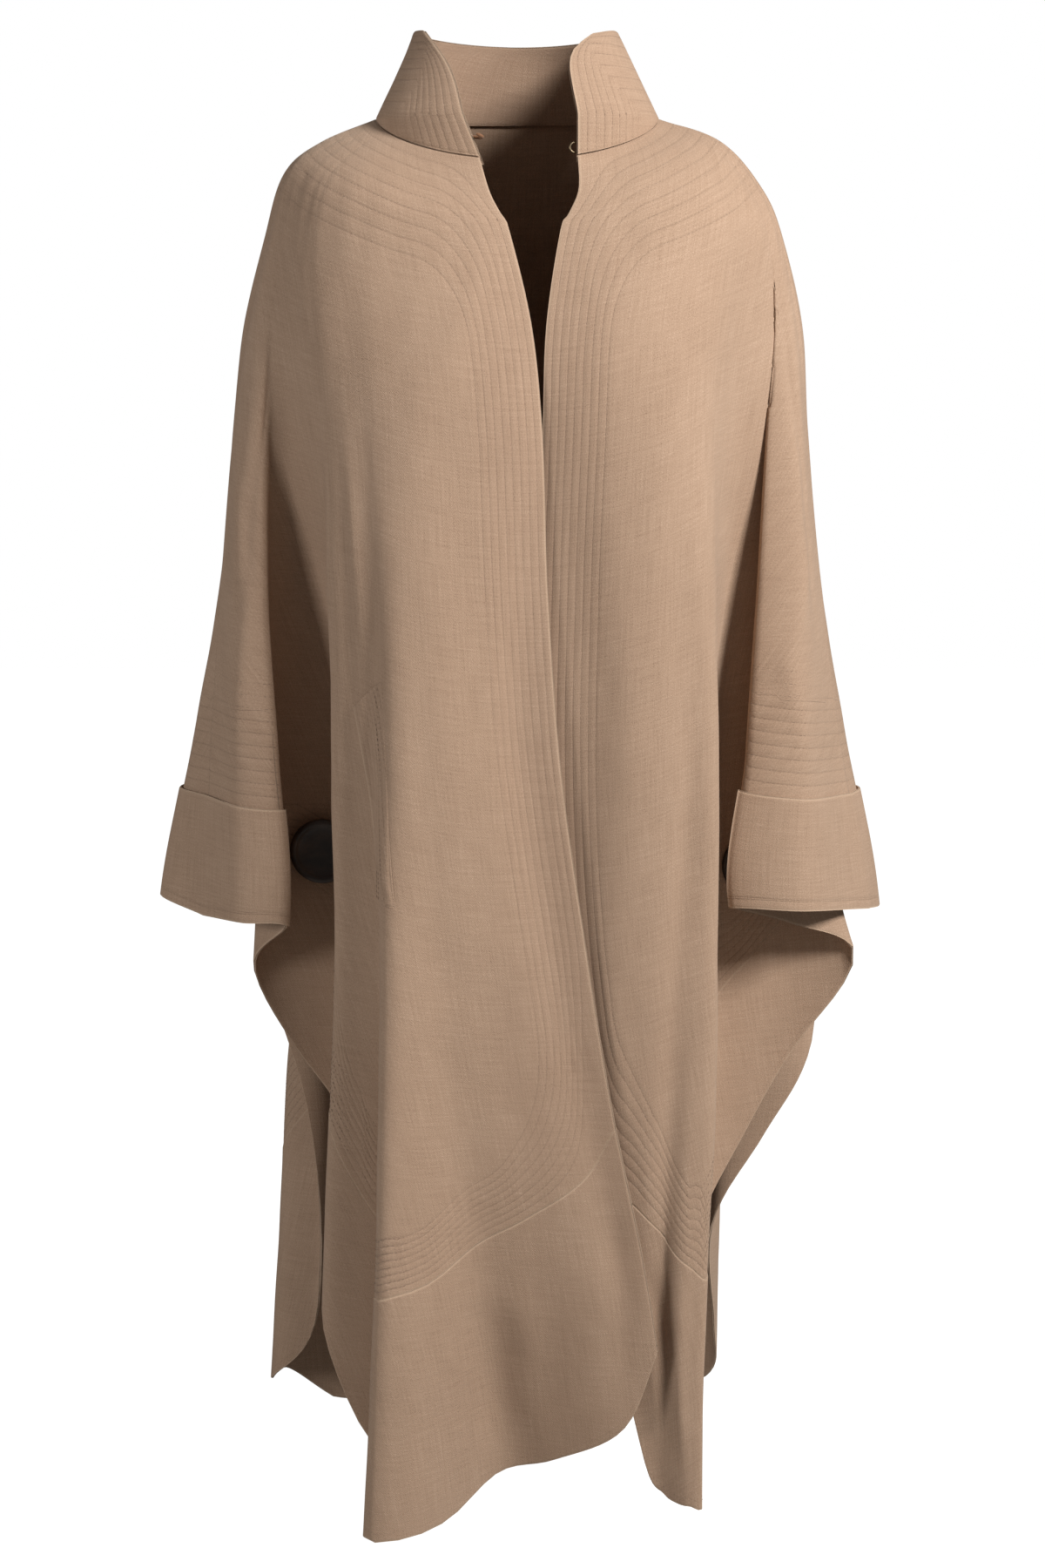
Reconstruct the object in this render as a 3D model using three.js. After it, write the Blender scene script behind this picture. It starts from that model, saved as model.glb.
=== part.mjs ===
// Long wool cape with a stand collar, buttoned sides and turned-back cuffs, in its worn shape.
// Millimetres, +Z up, +X to the wearer's left, +Y to the wearer's back.
// The origin is the middle of the neck opening at the height of the collar's side seams.
import * as THREE from "three";

// Driving sizes
const CLOTH = 2.4;            // wall of the doubled wool panels
const BAND_CLOTH = 2.9;       // the hem bands have one more layer
const SEAM_GAP = 0.3;         // between pieces that are sewn together
const LAID_GAP = 1.2;         // between a sleeve and the cuff that lies on it
const BAND_GAP = 1.1;         // at the hem bands' seams, where the folds turn tightly
const PANEL_ROWS = 16;
const NECK = { right: 128, left: 119, front: 86, back: 92, frontDrop: 40, backRise: 6 };
const SHOULDER = { right: { near: 0.2, far: 0.46 }, left: { near: 0.2, far: 0.58 } };
const COLLAR = { topSide: 74, topBack: 70, leanRight: 0.26, leanLeft: 0.32, wall: 2.2, seat: 1.6 };
const BUTTON = { radius: 30, rim: 3.6, dish: 1.8, rimWidth: 6, back: 1.2 };

// Heights of the horizontal sections that the tables below give x and y for.
const LEVELS = [-100, -180, -270, -400, -550, -700, -850, -1000, -1130, -1270];

// One row for each line that runs down a sheet: a free edge, a fold's crest or its inner turn.
// seam is the height of the hem band's top seam on that line, low is the height of the cut edge,
// and bow is how far the line bows sideways between the neck seam and the first level.
const OVERARM_RIGHT = {
  line: "overarm", seam: -707, low: -707,
  x: [-221, -241, -257, -271, -282, -288, -292, -295, -298, -300],
  y: [-22, -18, -12, -6, -24, -38, -45, -50, -50, -50],
};
const OVERARM_LEFT = {
  line: "overarm", seam: -708, low: -708,
  x: [226, 245, 253, 268, 290, 316, 322, 326, 330, 334],
  y: [-20, -16, -10, -4, -4, -6, -8, -10, -10, -10],
};

const RIGHT_FRONT = [
  { line: "edge", seam: -872, low: -1082, bow: -4,
    x: [-11, 8, 17, 22, 33, 54, 78, 108, 128, 142],
    y: [-112, -132, -144, -150, -154, -154, -153, -151, -148, -144] },
  { line: "edge inside", seam: -920, low: -1160,
    x: [-34, -22, -16, -12, -2, 18, 42, 70, 88, 100],
    y: [-114, -136, -149, -156, -159, -158, -154, -148, -142, -136] },
  { line: "middle", seam: -957, low: -1199,
    x: [-62, -56, -54, -54, -48, -34, -14, 10, 24, 34],
    y: [-114, -138, -152, -162, -164, -160, -150, -136, -124, -114] },
  { line: "trough", seam: -978, low: -1213,
    x: [-88, -86, -84, -84, -80, -70, -55, -38, -26, -18],
    y: [-112, -136, -151, -163, -168, -166, -158, -142, -124, -108] },
  { line: "first fold rise", seam: -1002, low: -1236,
    x: [-108, -108, -106, -104, -102, -97, -90, -80, -72, -66],
    y: [-109, -131, -147, -162, -171, -176, -182, -180, -172, -160] },
  { line: "first fold front", seam: -1007, low: -1232,
    x: [-124, -125, -122, -117, -114, -114, -113, -112, -110, -108],
    y: [-106, -126, -141, -156, -168, -178, -192, -204, -208, -210] },
  { line: "first fold crest", seam: -1012, low: -1231,
    x: [-136, -136, -132, -125, -121, -122, -124, -128, -134, -141],
    y: [-102, -121, -135, -148, -158, -166, -180, -192, -200, -206] },
  { line: "first inner turn", seam: -990, low: -1216,
    x: [-147, -147, -141, -134, -128, -122, -113, -104, -100, -97],
    y: [-98, -115, -130, -141, -146, -146, -143, -140, -138, -137] },
  { line: "second fold front", seam: -946, low: -1166,
    x: [-158, -158, -151, -145, -141, -140, -140, -142, -145, -148],
    y: [-92, -109, -123, -133, -136, -134, -130, -126, -124, -124] },
  { line: "second fold crest", seam: -874, low: -1064,
    x: [-171, -172, -166, -163, -163, -165, -171, -178, -184, -188],
    y: [-84, -99, -110, -118, -118, -116, -113, -110, -108, -108] },
  { line: "second inner turn", seam: -790, low: -980,
    x: [-181, -184, -176, -164, -152, -148, -150, -156, -162, -166],
    y: [-76, -88, -92, -82, -66, -58, -58, -62, -66, -68] },
  { line: "side valley inside", seam: -722, low: -915,
    x: [-190, -195, -190, -178, -160, -153, -158, -166, -172, -176],
    y: [-67, -76, -72, -46, -22, -13, -18, -30, -36, -40] },
  { line: "side valley outside", seam: -668, low: -838,
    x: [-198, -206, -205, -203, -205, -212, -212, -205, -204, -204],
    y: [-58, -64, -56, -32, -14, -9, -14, -28, -34, -38] },
  { line: "sleeve turn", seam: -664, low: -758,
    x: [-205, -216, -219, -224, -234, -243, -250, -240, -236, -234],
    y: [-50, -52, -52, -44, -32, -26, -30, -36, -40, -42] },
  { line: "sleeve inner edge", seam: -704, low: -708,
    x: [-211, -225, -231, -229, -219, -212, -240, -255, -255, -255],
    y: [-42, -44, -56, -64, -72, -80, -60, -50, -50, -50] },
  { line: "sleeve front", seam: -705, low: -705,
    x: [-217, -234, -246, -254, -253, -250, -262, -272, -275, -278],
    y: [-33, -34, -42, -52, -66, -76, -70, -60, -60, -60] },
  OVERARM_RIGHT,
];

const LEFT_FRONT = [
  { line: "edge", seam: -872, low: -1078, bow: 8,
    x: [32, 20, 17, 12, 10, 18, 38, 66, 88, 102],
    y: [-110, -130, -138, -139, -138, -136, -134, -130, -127, -124] },
  { line: "edge inside", seam: -925, low: -1202, bow: 4,
    x: [56, 48, 46, 42, 40, 46, 64, 88, 106, 118],
    y: [-112, -134, -146, -145, -142, -138, -134, -130, -127, -124] },
  { line: "middle", seam: -951, low: -1227,
    x: [82, 80, 80, 78, 76, 80, 92, 108, 122, 132],
    y: [-112, -137, -151, -153, -150, -145, -139, -134, -131, -129] },
  { line: "body front", seam: -985, low: -1232,
    x: [112, 114, 114, 113, 113, 116, 122, 130, 136, 142],
    y: [-109, -133, -149, -155, -154, -150, -146, -142, -140, -139] },
  { line: "body fold front", seam: -1004, low: -1232,
    x: [140, 142, 140, 142, 145, 148, 150, 150, 150, 152],
    y: [-100, -122, -138, -146, -147, -145, -144, -143, -144, -145] },
  { line: "body fold crest", seam: -1012, low: -1231,
    x: [166, 164, 159, 163, 169, 171, 171, 165, 161, 160],
    y: [-86, -104, -118, -126, -128, -128, -130, -134, -138, -142] },
  { line: "body inner turn", seam: -930, low: -1180,
    x: [180, 178, 172, 168, 163, 158, 152, 140, 128, 120],
    y: [-74, -86, -88, -80, -66, -62, -66, -80, -92, -100] },
  { line: "side valley inside", seam: -808, low: -1030,
    x: [190, 190, 188, 182, 176, 174, 168, 156, 146, 140],
    y: [-64, -72, -66, -48, -28, -18, -24, -44, -60, -68] },
  { line: "side valley middle", seam: -750, low: -925,
    x: [199, 204, 207, 209, 211, 214, 210, 200, 190, 184],
    y: [-56, -60, -54, -36, -18, -10, -12, -22, -36, -44] },
  { line: "side valley outside", seam: -704, low: -834,
    x: [206, 214, 221, 232, 242, 252, 258, 250, 244, 240],
    y: [-50, -52, -46, -32, -16, -8, -8, -14, -20, -24] },
  { line: "sleeve turn", seam: -690, low: -745,
    x: [211, 222, 231, 246, 264, 292, 334, 330, 326, 320],
    y: [-44, -44, -42, -36, -26, -22, -22, -26, -28, -30] },
  { line: "sleeve return", seam: -684, low: -712,
    x: [214, 222, 225, 229, 232, 240, 300, 320, 320, 320],
    y: [-40, -45, -48, -50, -51, -50, -38, -34, -34, -34] },
  { line: "sleeve inner edge", seam: -687, low: -690,
    x: [217, 221, 215, 208, 199, 190, 270, 300, 300, 300],
    y: [-36, -46, -54, -66, -74, -80, -55, -45, -45, -45] },
  { line: "sleeve front", seam: -693, low: -693,
    x: [221, 235, 241, 247, 250, 252, 290, 310, 312, 314],
    y: [-29, -35, -46, -60, -72, -82, -66, -50, -50, -50] },
  OVERARM_LEFT,
];

const BACK = [
  OVERARM_RIGHT,
  { line: "right sleeve outside", seam: -698, low: -698,
    x: [-226, -247, -259, -273, -302, -332, -340, -344, -346, -348],
    y: [0, 7, 14, 20, 14, 6, 4, 4, 4, 4] },
  { line: "right sleeve back", seam: -704, low: -704,
    x: [-216, -236, -248, -258, -278, -302, -310, -312, -314, -316],
    y: [26, 34, 44, 52, 54, 54, 54, 54, 54, 54] },
  { line: "right sleeve inner edge", seam: -704, low: -710,
    x: [-206, -224, -232, -233, -234, -242, -262, -270, -270, -270],
    y: [46, 56, 64, 70, 74, 76, 66, 50, 50, 50] },
  { line: "right sleeve turn", seam: -688, low: -765,
    x: [-196, -212, -218, -220, -226, -236, -252, -250, -246, -244],
    y: [58, 66, 60, 48, 34, 28, 24, 22, 20, 20] },
  { line: "right side valley", seam: -735, low: -905,
    x: [-186, -198, -200, -196, -188, -184, -200, -205, -205, -205],
    y: [68, 76, 66, 40, 10, -2, 4, 10, 12, 14] },
  { line: "right wrap front", seam: -862, low: -1119,
    x: [-176, -184, -182, -170, -160, -158, -176, -190, -199, -206],
    y: [78, 86, 80, 56, 32, 22, 22, 25, 29, 33] },
  { line: "right wrap crest", seam: -955, low: -1195,
    x: [-168, -176, -177, -176, -181, -196, -222, -232, -240, -249],
    y: [86, 98, 102, 98, 88, 78, 68, 62, 60, 60] },
  { line: "right side", seam: -1004, low: -1226,
    x: [-150, -158, -162, -166, -173, -186, -208, -224, -234, -242],
    y: [98, 116, 126, 130, 132, 136, 140, 146, 150, 154] },
  { line: "right back fold", seam: -1032, low: -1274,
    x: [-112, -118, -122, -128, -136, -146, -160, -172, -180, -186],
    y: [106, 128, 142, 152, 158, 163, 168, 173, 177, 180] },
  { line: "right back trough", seam: -1044, low: -1280,
    x: [-66, -70, -74, -78, -83, -88, -95, -101, -106, -110],
    y: [110, 132, 146, 154, 155, 153, 150, 147, 144, 142] },
  { line: "centre back", seam: -1050, low: -1284,
    x: [-14, -15, -16, -16, -16, -16, -15, -14, -13, -12],
    y: [112, 136, 152, 163, 172, 181, 192, 202, 210, 216] },
  { line: "left back trough", seam: -1046, low: -1280,
    x: [44, 46, 48, 50, 54, 58, 62, 66, 68, 70],
    y: [110, 133, 147, 155, 158, 158, 156, 153, 150, 148] },
  { line: "left back fold", seam: -1034, low: -1268,
    x: [104, 109, 113, 118, 125, 132, 138, 143, 147, 150],
    y: [104, 126, 140, 150, 158, 164, 172, 180, 186, 190] },
  { line: "left side", seam: -1006, low: -1228,
    x: [146, 154, 159, 164, 171, 178, 184, 188, 191, 193],
    y: [96, 114, 125, 130, 134, 138, 142, 146, 149, 152] },
  { line: "left wrap crest", seam: -930, low: -1150,
    x: [168, 176, 178, 179, 184, 191, 196, 194, 190, 188],
    y: [84, 97, 102, 99, 92, 88, 88, 90, 92, 94] },
  { line: "left wrap front", seam: -842, low: -1028,
    x: [178, 187, 188, 186, 184, 184, 187, 184, 178, 174],
    y: [76, 86, 82, 58, 36, 26, 28, 32, 36, 40] },
  { line: "left side valley", seam: -765, low: -935,
    x: [188, 200, 204, 206, 209, 213, 230, 226, 222, 220],
    y: [67, 75, 66, 42, 14, 0, 14, 20, 24, 26] },
  { line: "left sleeve turn", seam: -690, low: -845,
    x: [198, 213, 219, 226, 242, 262, 274, 270, 266, 262],
    y: [57, 65, 60, 50, 38, 30, 24, 22, 22, 22] },
  { line: "left sleeve inner edge", seam: -698, low: -704,
    x: [208, 225, 231, 236, 246, 262, 290, 300, 300, 300],
    y: [46, 56, 64, 70, 76, 80, 66, 50, 50, 50] },
  { line: "left sleeve back", seam: -706, low: -706,
    x: [218, 237, 245, 256, 278, 306, 316, 320, 322, 324],
    y: [26, 34, 44, 52, 56, 60, 60, 60, 60, 60] },
  { line: "left sleeve outside", seam: -712, low: -712,
    x: [228, 249, 257, 271, 298, 330, 340, 344, 346, 348],
    y: [0, 7, 14, 20, 24, 28, 30, 30, 30, 30] },
  OVERARM_LEFT,
];

const RAD = Math.PI / 180;
const mix = (a, b, t) => a + (b - a) * t;

// Value of a smooth curve through evenly numbered values, at position t.
function through(values, t) {
  const last = values.length - 1;
  const i = Math.min(Math.max(Math.floor(t), 0), last - 1);
  const f = t - i;
  const b = values[i];
  const c = values[i + 1];
  const a = i > 0 ? values[i - 1] : 2 * b - c;
  const d = i + 2 <= last ? values[i + 2] : 2 * c - b;
  return b + 0.5 * f * (c - a + f * (2 * a - 5 * b + 4 * c - d + f * (3 * (b - c) + d - a)));
}

// Point of the neck seam at an angle from centre front, going round by the wearer's right side.
function neckPoint(angle) {
  const s = Math.sin(angle * RAD);
  const c = Math.cos(angle * RAD);
  const half = s > 0 ? NECK.right : NECK.left;
  const depth = c > 0 ? NECK.front : NECK.back;
  const z = c > 0 ? -NECK.frontDrop * c ** 1.2 : -NECK.backRise * c;
  return new THREE.Vector3(-half * s, -depth * c, z);
}

// A sheet of cloth: u counts its lines, w counts its rows from the neck seam down.
class Sheet {
  constructor(lines, angleFrom, angleTo, out) {
    this.lines = lines;
    this.out = out;
    this.end = lines.length - 1;
    this.lastRow = LEVELS.length + 2;
    const spans = [0];
    for (let i = 1; i < lines.length; i++) {
      const step = Math.hypot(lines[i].x[0] - lines[i - 1].x[0], lines[i].y[0] - lines[i - 1].y[0]);
      spans.push(spans[i - 1] + step);
    }
    this.columns = lines.map((line, i) => {
      const angle = mix(angleFrom, angleTo, spans[i] / spans[this.end]);
      return this.column(line, neckPoint(angle), Math.sin(angle * RAD) ** 2);
    });
  }

  // One line from the neck seam over the shoulder or chest and down all levels.
  column(line, neck, sideways) {
    const slope = neck.x < 0 ? SHOULDER.right : SHOULDER.left;
    const shoulder = [
      { along: 0.5, fall: mix(0.5, slope.near, sideways) },
      { along: 0.82, fall: mix(0.82, slope.far, sideways) },
    ];
    const bowed = (s) => mix(neck.x, line.x[0], s.along) + (line.bow ?? 0) * Math.sin(Math.PI * s.along);
    return {
      x: [neck.x, ...shoulder.map(bowed), ...line.x],
      y: [neck.y, ...shoulder.map((s) => mix(neck.y, line.y[0], s.along)), ...line.y],
      z: [neck.z, ...shoulder.map((s) => mix(neck.z, LEVELS[0], s.fall)), ...LEVELS],
    };
  }

  point(u, w) {
    const axis = (name) => through(this.nearby(u).map((c) => through(c[name], w)), this.local(u));
    return new THREE.Vector3(axis("x"), axis("y"), axis("z"));
  }

  // Up to four lines round u, and where u lies among them.
  nearby(u) {
    const i = Math.min(Math.max(Math.floor(u), 0), this.end - 1);
    return this.columns.slice(Math.max(i - 1, 0), i + 3);
  }

  local(u) {
    const i = Math.min(Math.max(Math.floor(u), 0), this.end - 1);
    return u - i + Math.min(i, 1);
  }

  normal(u, w) {
    const step = 0.02;
    const du = this.point(Math.min(u + step, this.end), w).sub(this.point(Math.max(u - step, 0), w));
    const dw = this.point(u, Math.min(w + step, this.lastRow)).sub(this.point(u, Math.max(w - step, 0)));
    return du.cross(dw).normalize().multiplyScalar(this.out);
  }

  // The row at which line u reaches the height z.
  rowAt(u, z) {
    let above = 1;
    let below = this.lastRow;
    for (let i = 0; i < 40; i++) {
      const middle = (above + below) / 2;
      if (this.point(u, middle).z > z) above = middle;
      else below = middle;
    }
    return (above + below) / 2;
  }

  edge(name, u) {
    return through(this.lines.map((line) => line[name]), u);
  }

  lineNumber(name) {
    return this.lines.findIndex((line) => line.line === name);
  }
}

// Closed wall round a grid of { point, normal }, half of the thickness on each side.
function wall(grid, thickness) {
  const rows = grid.length;
  const cols = grid[0].length;
  const positions = [];
  for (const side of [0.5, -0.5]) {
    for (const row of grid) {
      for (const node of row) {
        const p = node.point.clone().addScaledVector(node.normal, side * thickness);
        positions.push(p.x, p.y, p.z);
      }
    }
  }
  const index = [];
  const quad = (a, b, c, d) => index.push(a, b, c, a, c, d);
  const outer = (i, j) => i * cols + j;
  const inner = (i, j) => (rows + i) * cols + j;
  for (let i = 0; i + 1 < rows; i++) {
    for (let j = 0; j + 1 < cols; j++) {
      quad(outer(i, j), outer(i + 1, j), outer(i + 1, j + 1), outer(i, j + 1));
      quad(inner(i, j), inner(i, j + 1), inner(i + 1, j + 1), inner(i + 1, j));
    }
    quad(outer(i + 1, 0), outer(i, 0), inner(i, 0), inner(i + 1, 0));
    quad(outer(i, cols - 1), outer(i + 1, cols - 1), inner(i + 1, cols - 1), inner(i, cols - 1));
  }
  for (let j = 0; j + 1 < cols; j++) {
    quad(outer(0, j), outer(0, j + 1), inner(0, j + 1), inner(0, j));
    quad(outer(rows - 1, j + 1), outer(rows - 1, j), inner(rows - 1, j), inner(rows - 1, j + 1));
  }
  const geometry = new THREE.BufferGeometry();
  geometry.setAttribute("position", new THREE.Float32BufferAttribute(positions, 3));
  geometry.setIndex(signedVolume(positions, index) < 0 ? turned(index) : index);
  geometry.computeVertexNormals();
  return geometry;
}

function signedVolume(positions, index) {
  const corner = (i) => new THREE.Vector3().fromArray(positions, index[i] * 3);
  let volume = 0;
  for (let i = 0; i < index.length; i += 3) {
    volume += corner(i).dot(corner(i + 1).cross(corner(i + 2))) / 6;
  }
  return volume;
}

function turned(index) {
  const result = [];
  for (let i = 0; i < index.length; i += 3) result.push(index[i], index[i + 2], index[i + 1]);
  return result;
}

// Evenly spaced values from a to b, with both ends.
function steps(a, b, count) {
  return Array.from({ length: count + 1 }, (_, i) => mix(a, b, i / count));
}

const frontRight = new Sheet(RIGHT_FRONT, 16.4, 90, 1);
const frontLeft = new Sheet(LEFT_FRONT, 336.7, 270, -1);
const back = new Sheet(BACK, 90, 270, 1);

// Where a front meets the back: their shared normal, and the direction across the seam to the back.
function overarm(front, backLine, w) {
  const normal = front.normal(front.end, w).add(back.normal(backLine, w)).normalize();
  const down = back.point(backLine, w + 0.02).sub(back.point(backLine, w - 0.02));
  const across = down.cross(normal).normalize();
  const toBack = back.point(backLine === 0 ? 0.3 : back.end - 0.3, w).sub(back.point(backLine, w));
  return { normal, across: across.multiplyScalar(Math.sign(across.dot(toBack))) };
}

const SEAMS = [
  { sheet: frontRight, line: frontRight.end, front: frontRight, backLine: 0, shift: -1 },
  { sheet: frontLeft, line: frontLeft.end, front: frontLeft, backLine: back.end, shift: -1 },
  { sheet: back, line: 0, front: frontRight, backLine: 0, shift: 1 },
  { sheet: back, line: back.end, front: frontLeft, backLine: back.end, shift: 1 },
];

// A node of a sheet's grid. On an overarm seam it stands back by half of the seam's gap.
function node(sheet, u, w) {
  const point = sheet.point(u, w);
  const seam = SEAMS.find((s) => s.sheet === sheet && Math.abs(s.line - u) < 1e-6);
  if (!seam) return { point, normal: sheet.normal(u, w) };
  const { normal, across } = overarm(seam.front, seam.backLine, Math.max(w, 0.02));
  point.addScaledVector(across, seam.shift * SEAM_GAP * 0.5);
  return { point, normal };
}

// A node on the seam between a panel (side -1) and its hem band (side 1), half of the gap away.
function seamNode(sheet, u, side) {
  const onSeam = (line) => sheet.point(line, sheet.rowAt(line, sheet.edge("seam", line)));
  const w = sheet.rowAt(u, sheet.edge("seam", u));
  const normal = sheet.normal(u, w);
  const tangent = onSeam(Math.min(u + 0.03, sheet.end)).sub(onSeam(Math.max(u - 0.03, 0)));
  const down = sheet.point(u, w + 0.05).sub(sheet.point(u, w));
  const across = tangent.cross(normal).normalize();
  const shift = Math.sign(across.dot(down)) * side * BAND_GAP / 2;
  return { point: sheet.point(u, w).addScaledVector(across, shift), normal };
}

// The line numbers between which the hem band runs on a sheet.
function bandSpan(sheet) {
  if (sheet !== back) return [0, sheet.lineNumber("sleeve inner edge")];
  return [back.lineNumber("right sleeve inner edge"), back.lineNumber("left sleeve inner edge")];
}

// The last row of a panel on line u: at the hem band's seam, or at the sleeve's end.
function panelEnd(sheet, u) {
  const [first, last] = bandSpan(sheet);
  const banded = u > first - 1e-6 && u < last + 1e-6;
  return { banded, row: sheet.rowAt(u, sheet.edge(banded ? "seam" : "low", u)) };
}

function panel(sheet, perLine) {
  const grid = steps(0, sheet.end, sheet.end * perLine).map((u) => {
    const { banded, row } = panelEnd(sheet, u);
    const line = steps(0, row, PANEL_ROWS).map((w) => node(sheet, u, w));
    if (banded) line[PANEL_ROWS] = seamNode(sheet, u, -1);
    return line;
  });
  return wall(grid, CLOTH);
}

function hemBand(sheet, perLine, down) {
  const [first, last] = bandSpan(sheet);
  const clear = 0.04;
  const grid = steps(first, last, (last - first) * perLine).map((line) => {
    const u = Math.min(Math.max(line, first + (first > 0 ? clear : 0)), last - clear);
    const top = sheet.rowAt(u, sheet.edge("seam", u));
    const rows = steps(top, sheet.rowAt(u, sheet.edge("low", u)), down).map((w) => node(sheet, u, w));
    rows[0] = seamNode(sheet, u, 1);
    return rows;
  });
  return wall(grid, BAND_CLOTH);
}

// Turned-back cuff: it lies on the sleeve from the front inner edge over the arm to the back one.
// Its rows follow the panel's own last rows, so that both keep the same distance everywhere.
function cuff(front, backLine, backInner, topFront, topArm) {
  const lift = CLOTH + LAID_GAP;
  const inner = front.lineNumber("sleeve inner edge");
  const onFront = steps(inner, front.end, (front.end - inner) * 3).map((u) => ({ sheet: front, u }));
  const onBack = steps(backLine, backInner, 9).map((u) => ({ sheet: back, u }));
  const places = [...onFront.slice(0, -1), ...onBack];
  const grid = places.map(({ sheet, u }, i) => {
    const height = mix(topFront, topArm, Math.min(i / onFront.length, 1));
    const end = sheet.rowAt(u, sheet.edge("low", u));
    const [above, below] = [end * (PANEL_ROWS - 2) / PANEL_ROWS, end * (PANEL_ROWS - 1) / PANEL_ROWS];
    const nodes = [above, below, end].map((w) => node(sheet, u, w));
    const share = (nodes[0].point.z - height) / (nodes[0].point.z - nodes[1].point.z);
    const top = {
      point: nodes[0].point.clone().lerp(nodes[1].point, share),
      normal: nodes[0].normal.clone().lerp(nodes[1].normal, share).normalize(),
    };
    return [top, nodes[1], nodes[2]].map(({ point, normal }) => (
      { point: point.clone().addScaledVector(normal, lift), normal }
    ));
  });
  return wall(grid, CLOTH);
}

// Collar surface: s from the right front edge round the back to the left one, h from seam to top.
const COLLAR_ENDS = {
  right: { base: 16.4, top: 62, height: 64 },
  left: { base: 336.7, top: 314, height: 62 },
};

function collarPoint(s, h) {
  const { right, left } = COLLAR_ENDS;
  const turnIn = mix(0.42 * h + 0.58 * h ** 6, h ** 12, s);
  const angle = mix(mix(right.base, left.base, s), mix(right.top, left.top, s), turnIn);
  const foot = neckPoint(mix(right.base, left.base, s));
  const side = Math.sin(angle * RAD) ** 2;
  const frontHeight = s < 0.5 ? right.height : left.height;
  const plain = Math.cos(angle * RAD) > 0 ? mix(frontHeight, COLLAR.topSide, side) : 0;
  const top = plain || mix(COLLAR.topBack, COLLAR.topSide, side);
  const z = mix(foot.z + COLLAR.seat, top, h);
  const lean = mix(COLLAR.leanRight, COLLAR.leanLeft, s);
  const shrink = 1 - lean * Math.max(z, 0) / COLLAR.topSide;
  const ring = neckPoint(angle);
  return new THREE.Vector3(ring.x * shrink, ring.y * mix(1, shrink, 0.7), z);
}

function collarNode(s, h, inward) {
  const step = 0.01;
  const along = collarPoint(Math.min(s + step, 1), h).sub(collarPoint(Math.max(s - step, 0), h));
  const up = collarPoint(s, Math.min(h + step, 1)).sub(collarPoint(s, Math.max(h - step, 0)));
  const normal = along.cross(up).normalize();
  if (normal.x * collarPoint(s, h).x + normal.y * collarPoint(s, h).y < 0) normal.negate();
  return { point: collarPoint(s, h).addScaledVector(normal, -inward), normal };
}

const INNER_LAYER = COLLAR.wall + SEAM_GAP;

function collarLayer(inward) {
  const grid = steps(0, 1, 30).map((s) => steps(0, 1, 6).map((h) => collarNode(s, h, inward)));
  return wall(grid, COLLAR.wall);
}

// Pocket welt: a slanted strip on the right front, laid over its first and second folds.
const WELT = {
  top: { height: -487, outer: 8.1, inner: 5.3 },
  bottom: { height: -668, outer: 6.5, inner: 4.6 },
  corner: 14, wall: 1.6, clear: 1,
};

function pocketWelt() {
  const lift = (CLOTH + WELT.wall) / 2 + WELT.clear;
  const grid = steps(0, 1, 12).map((q) => {
    const outer = mix(WELT.top.outer, WELT.bottom.outer, q);
    const inner = mix(WELT.top.inner, WELT.bottom.inner, q);
    return steps(0, 1, 8).map((p) => {
      const rounding = WELT.corner * (1 - p) ** 3 * (1 - q) ** 6;
      const height = mix(WELT.top.height, WELT.bottom.height, q) - rounding + 12 * p * (1 - q);
      const u = mix(outer, inner, p);
      const w = frontRight.rowAt(u, height);
      const normal = frontRight.normal(u, w);
      return { point: frontRight.point(u, w).addScaledVector(normal, lift), normal };
    });
  });
  return wall(grid, WELT.wall);
}

// Dished button with a raised rim, lying on the outer face of a sheet.
function buttonShape() {
  const { radius, rim, dish, rimWidth, back: bevel } = BUTTON;
  const profile = [
    [0, 0], [radius - bevel, 0], [radius, bevel], [radius, rim + dish - bevel],
    [radius - bevel, rim + dish], [radius - rimWidth + bevel, rim + dish],
    [radius - rimWidth - 1, rim], [0, rim - 0.4],
  ].map(([r, h]) => new THREE.Vector2(r, h));
  const shape = new THREE.LatheGeometry(profile, 28);
  shape.rotateX(Math.PI);
  return shape;
}

// Puts a button at the place x, z of a sheet's valley, seated on the highest cloth under it.
function seatButton(mesh, sheet, fromLine, toLine, x, z) {
  const samples = [];
  for (const u of steps(fromLine, toLine, 30)) {
    for (const height of steps(z - BUTTON.radius, z + BUTTON.radius, 10)) {
      samples.push(sheet.point(u, sheet.rowAt(u, height)));
    }
  }
  const within = samples.filter((p) => Math.hypot(p.x - x, p.z - z) < BUTTON.radius + 2);
  const front = Math.min(...within.map((p) => p.y));
  mesh.position.set(x, front - BAND_CLOTH / 2 - SEAM_GAP, z);
  return mesh;
}

// Thread-wrapped hook and its eye, held by the inner layer of the collar near its base.
const WIRE = { hook: 1.6, eye: 0.9, ring: 4.2 };

// A point given from a collar edge: out past the edge, forward of the inner layer, and up.
function besideCollar(s, h, out, forward, up) {
  const base = collarNode(s, h, INNER_LAYER);
  const towards = collarPoint(s, h).sub(collarPoint(s + (s < 0.5 ? 0.02 : -0.02), h)).normalize();
  const level = new THREE.Vector3(0, 0, 1);
  return base.point
    .addScaledVector(towards, out)
    .addScaledVector(base.normal, forward)
    .addScaledVector(level, up);
}

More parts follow.
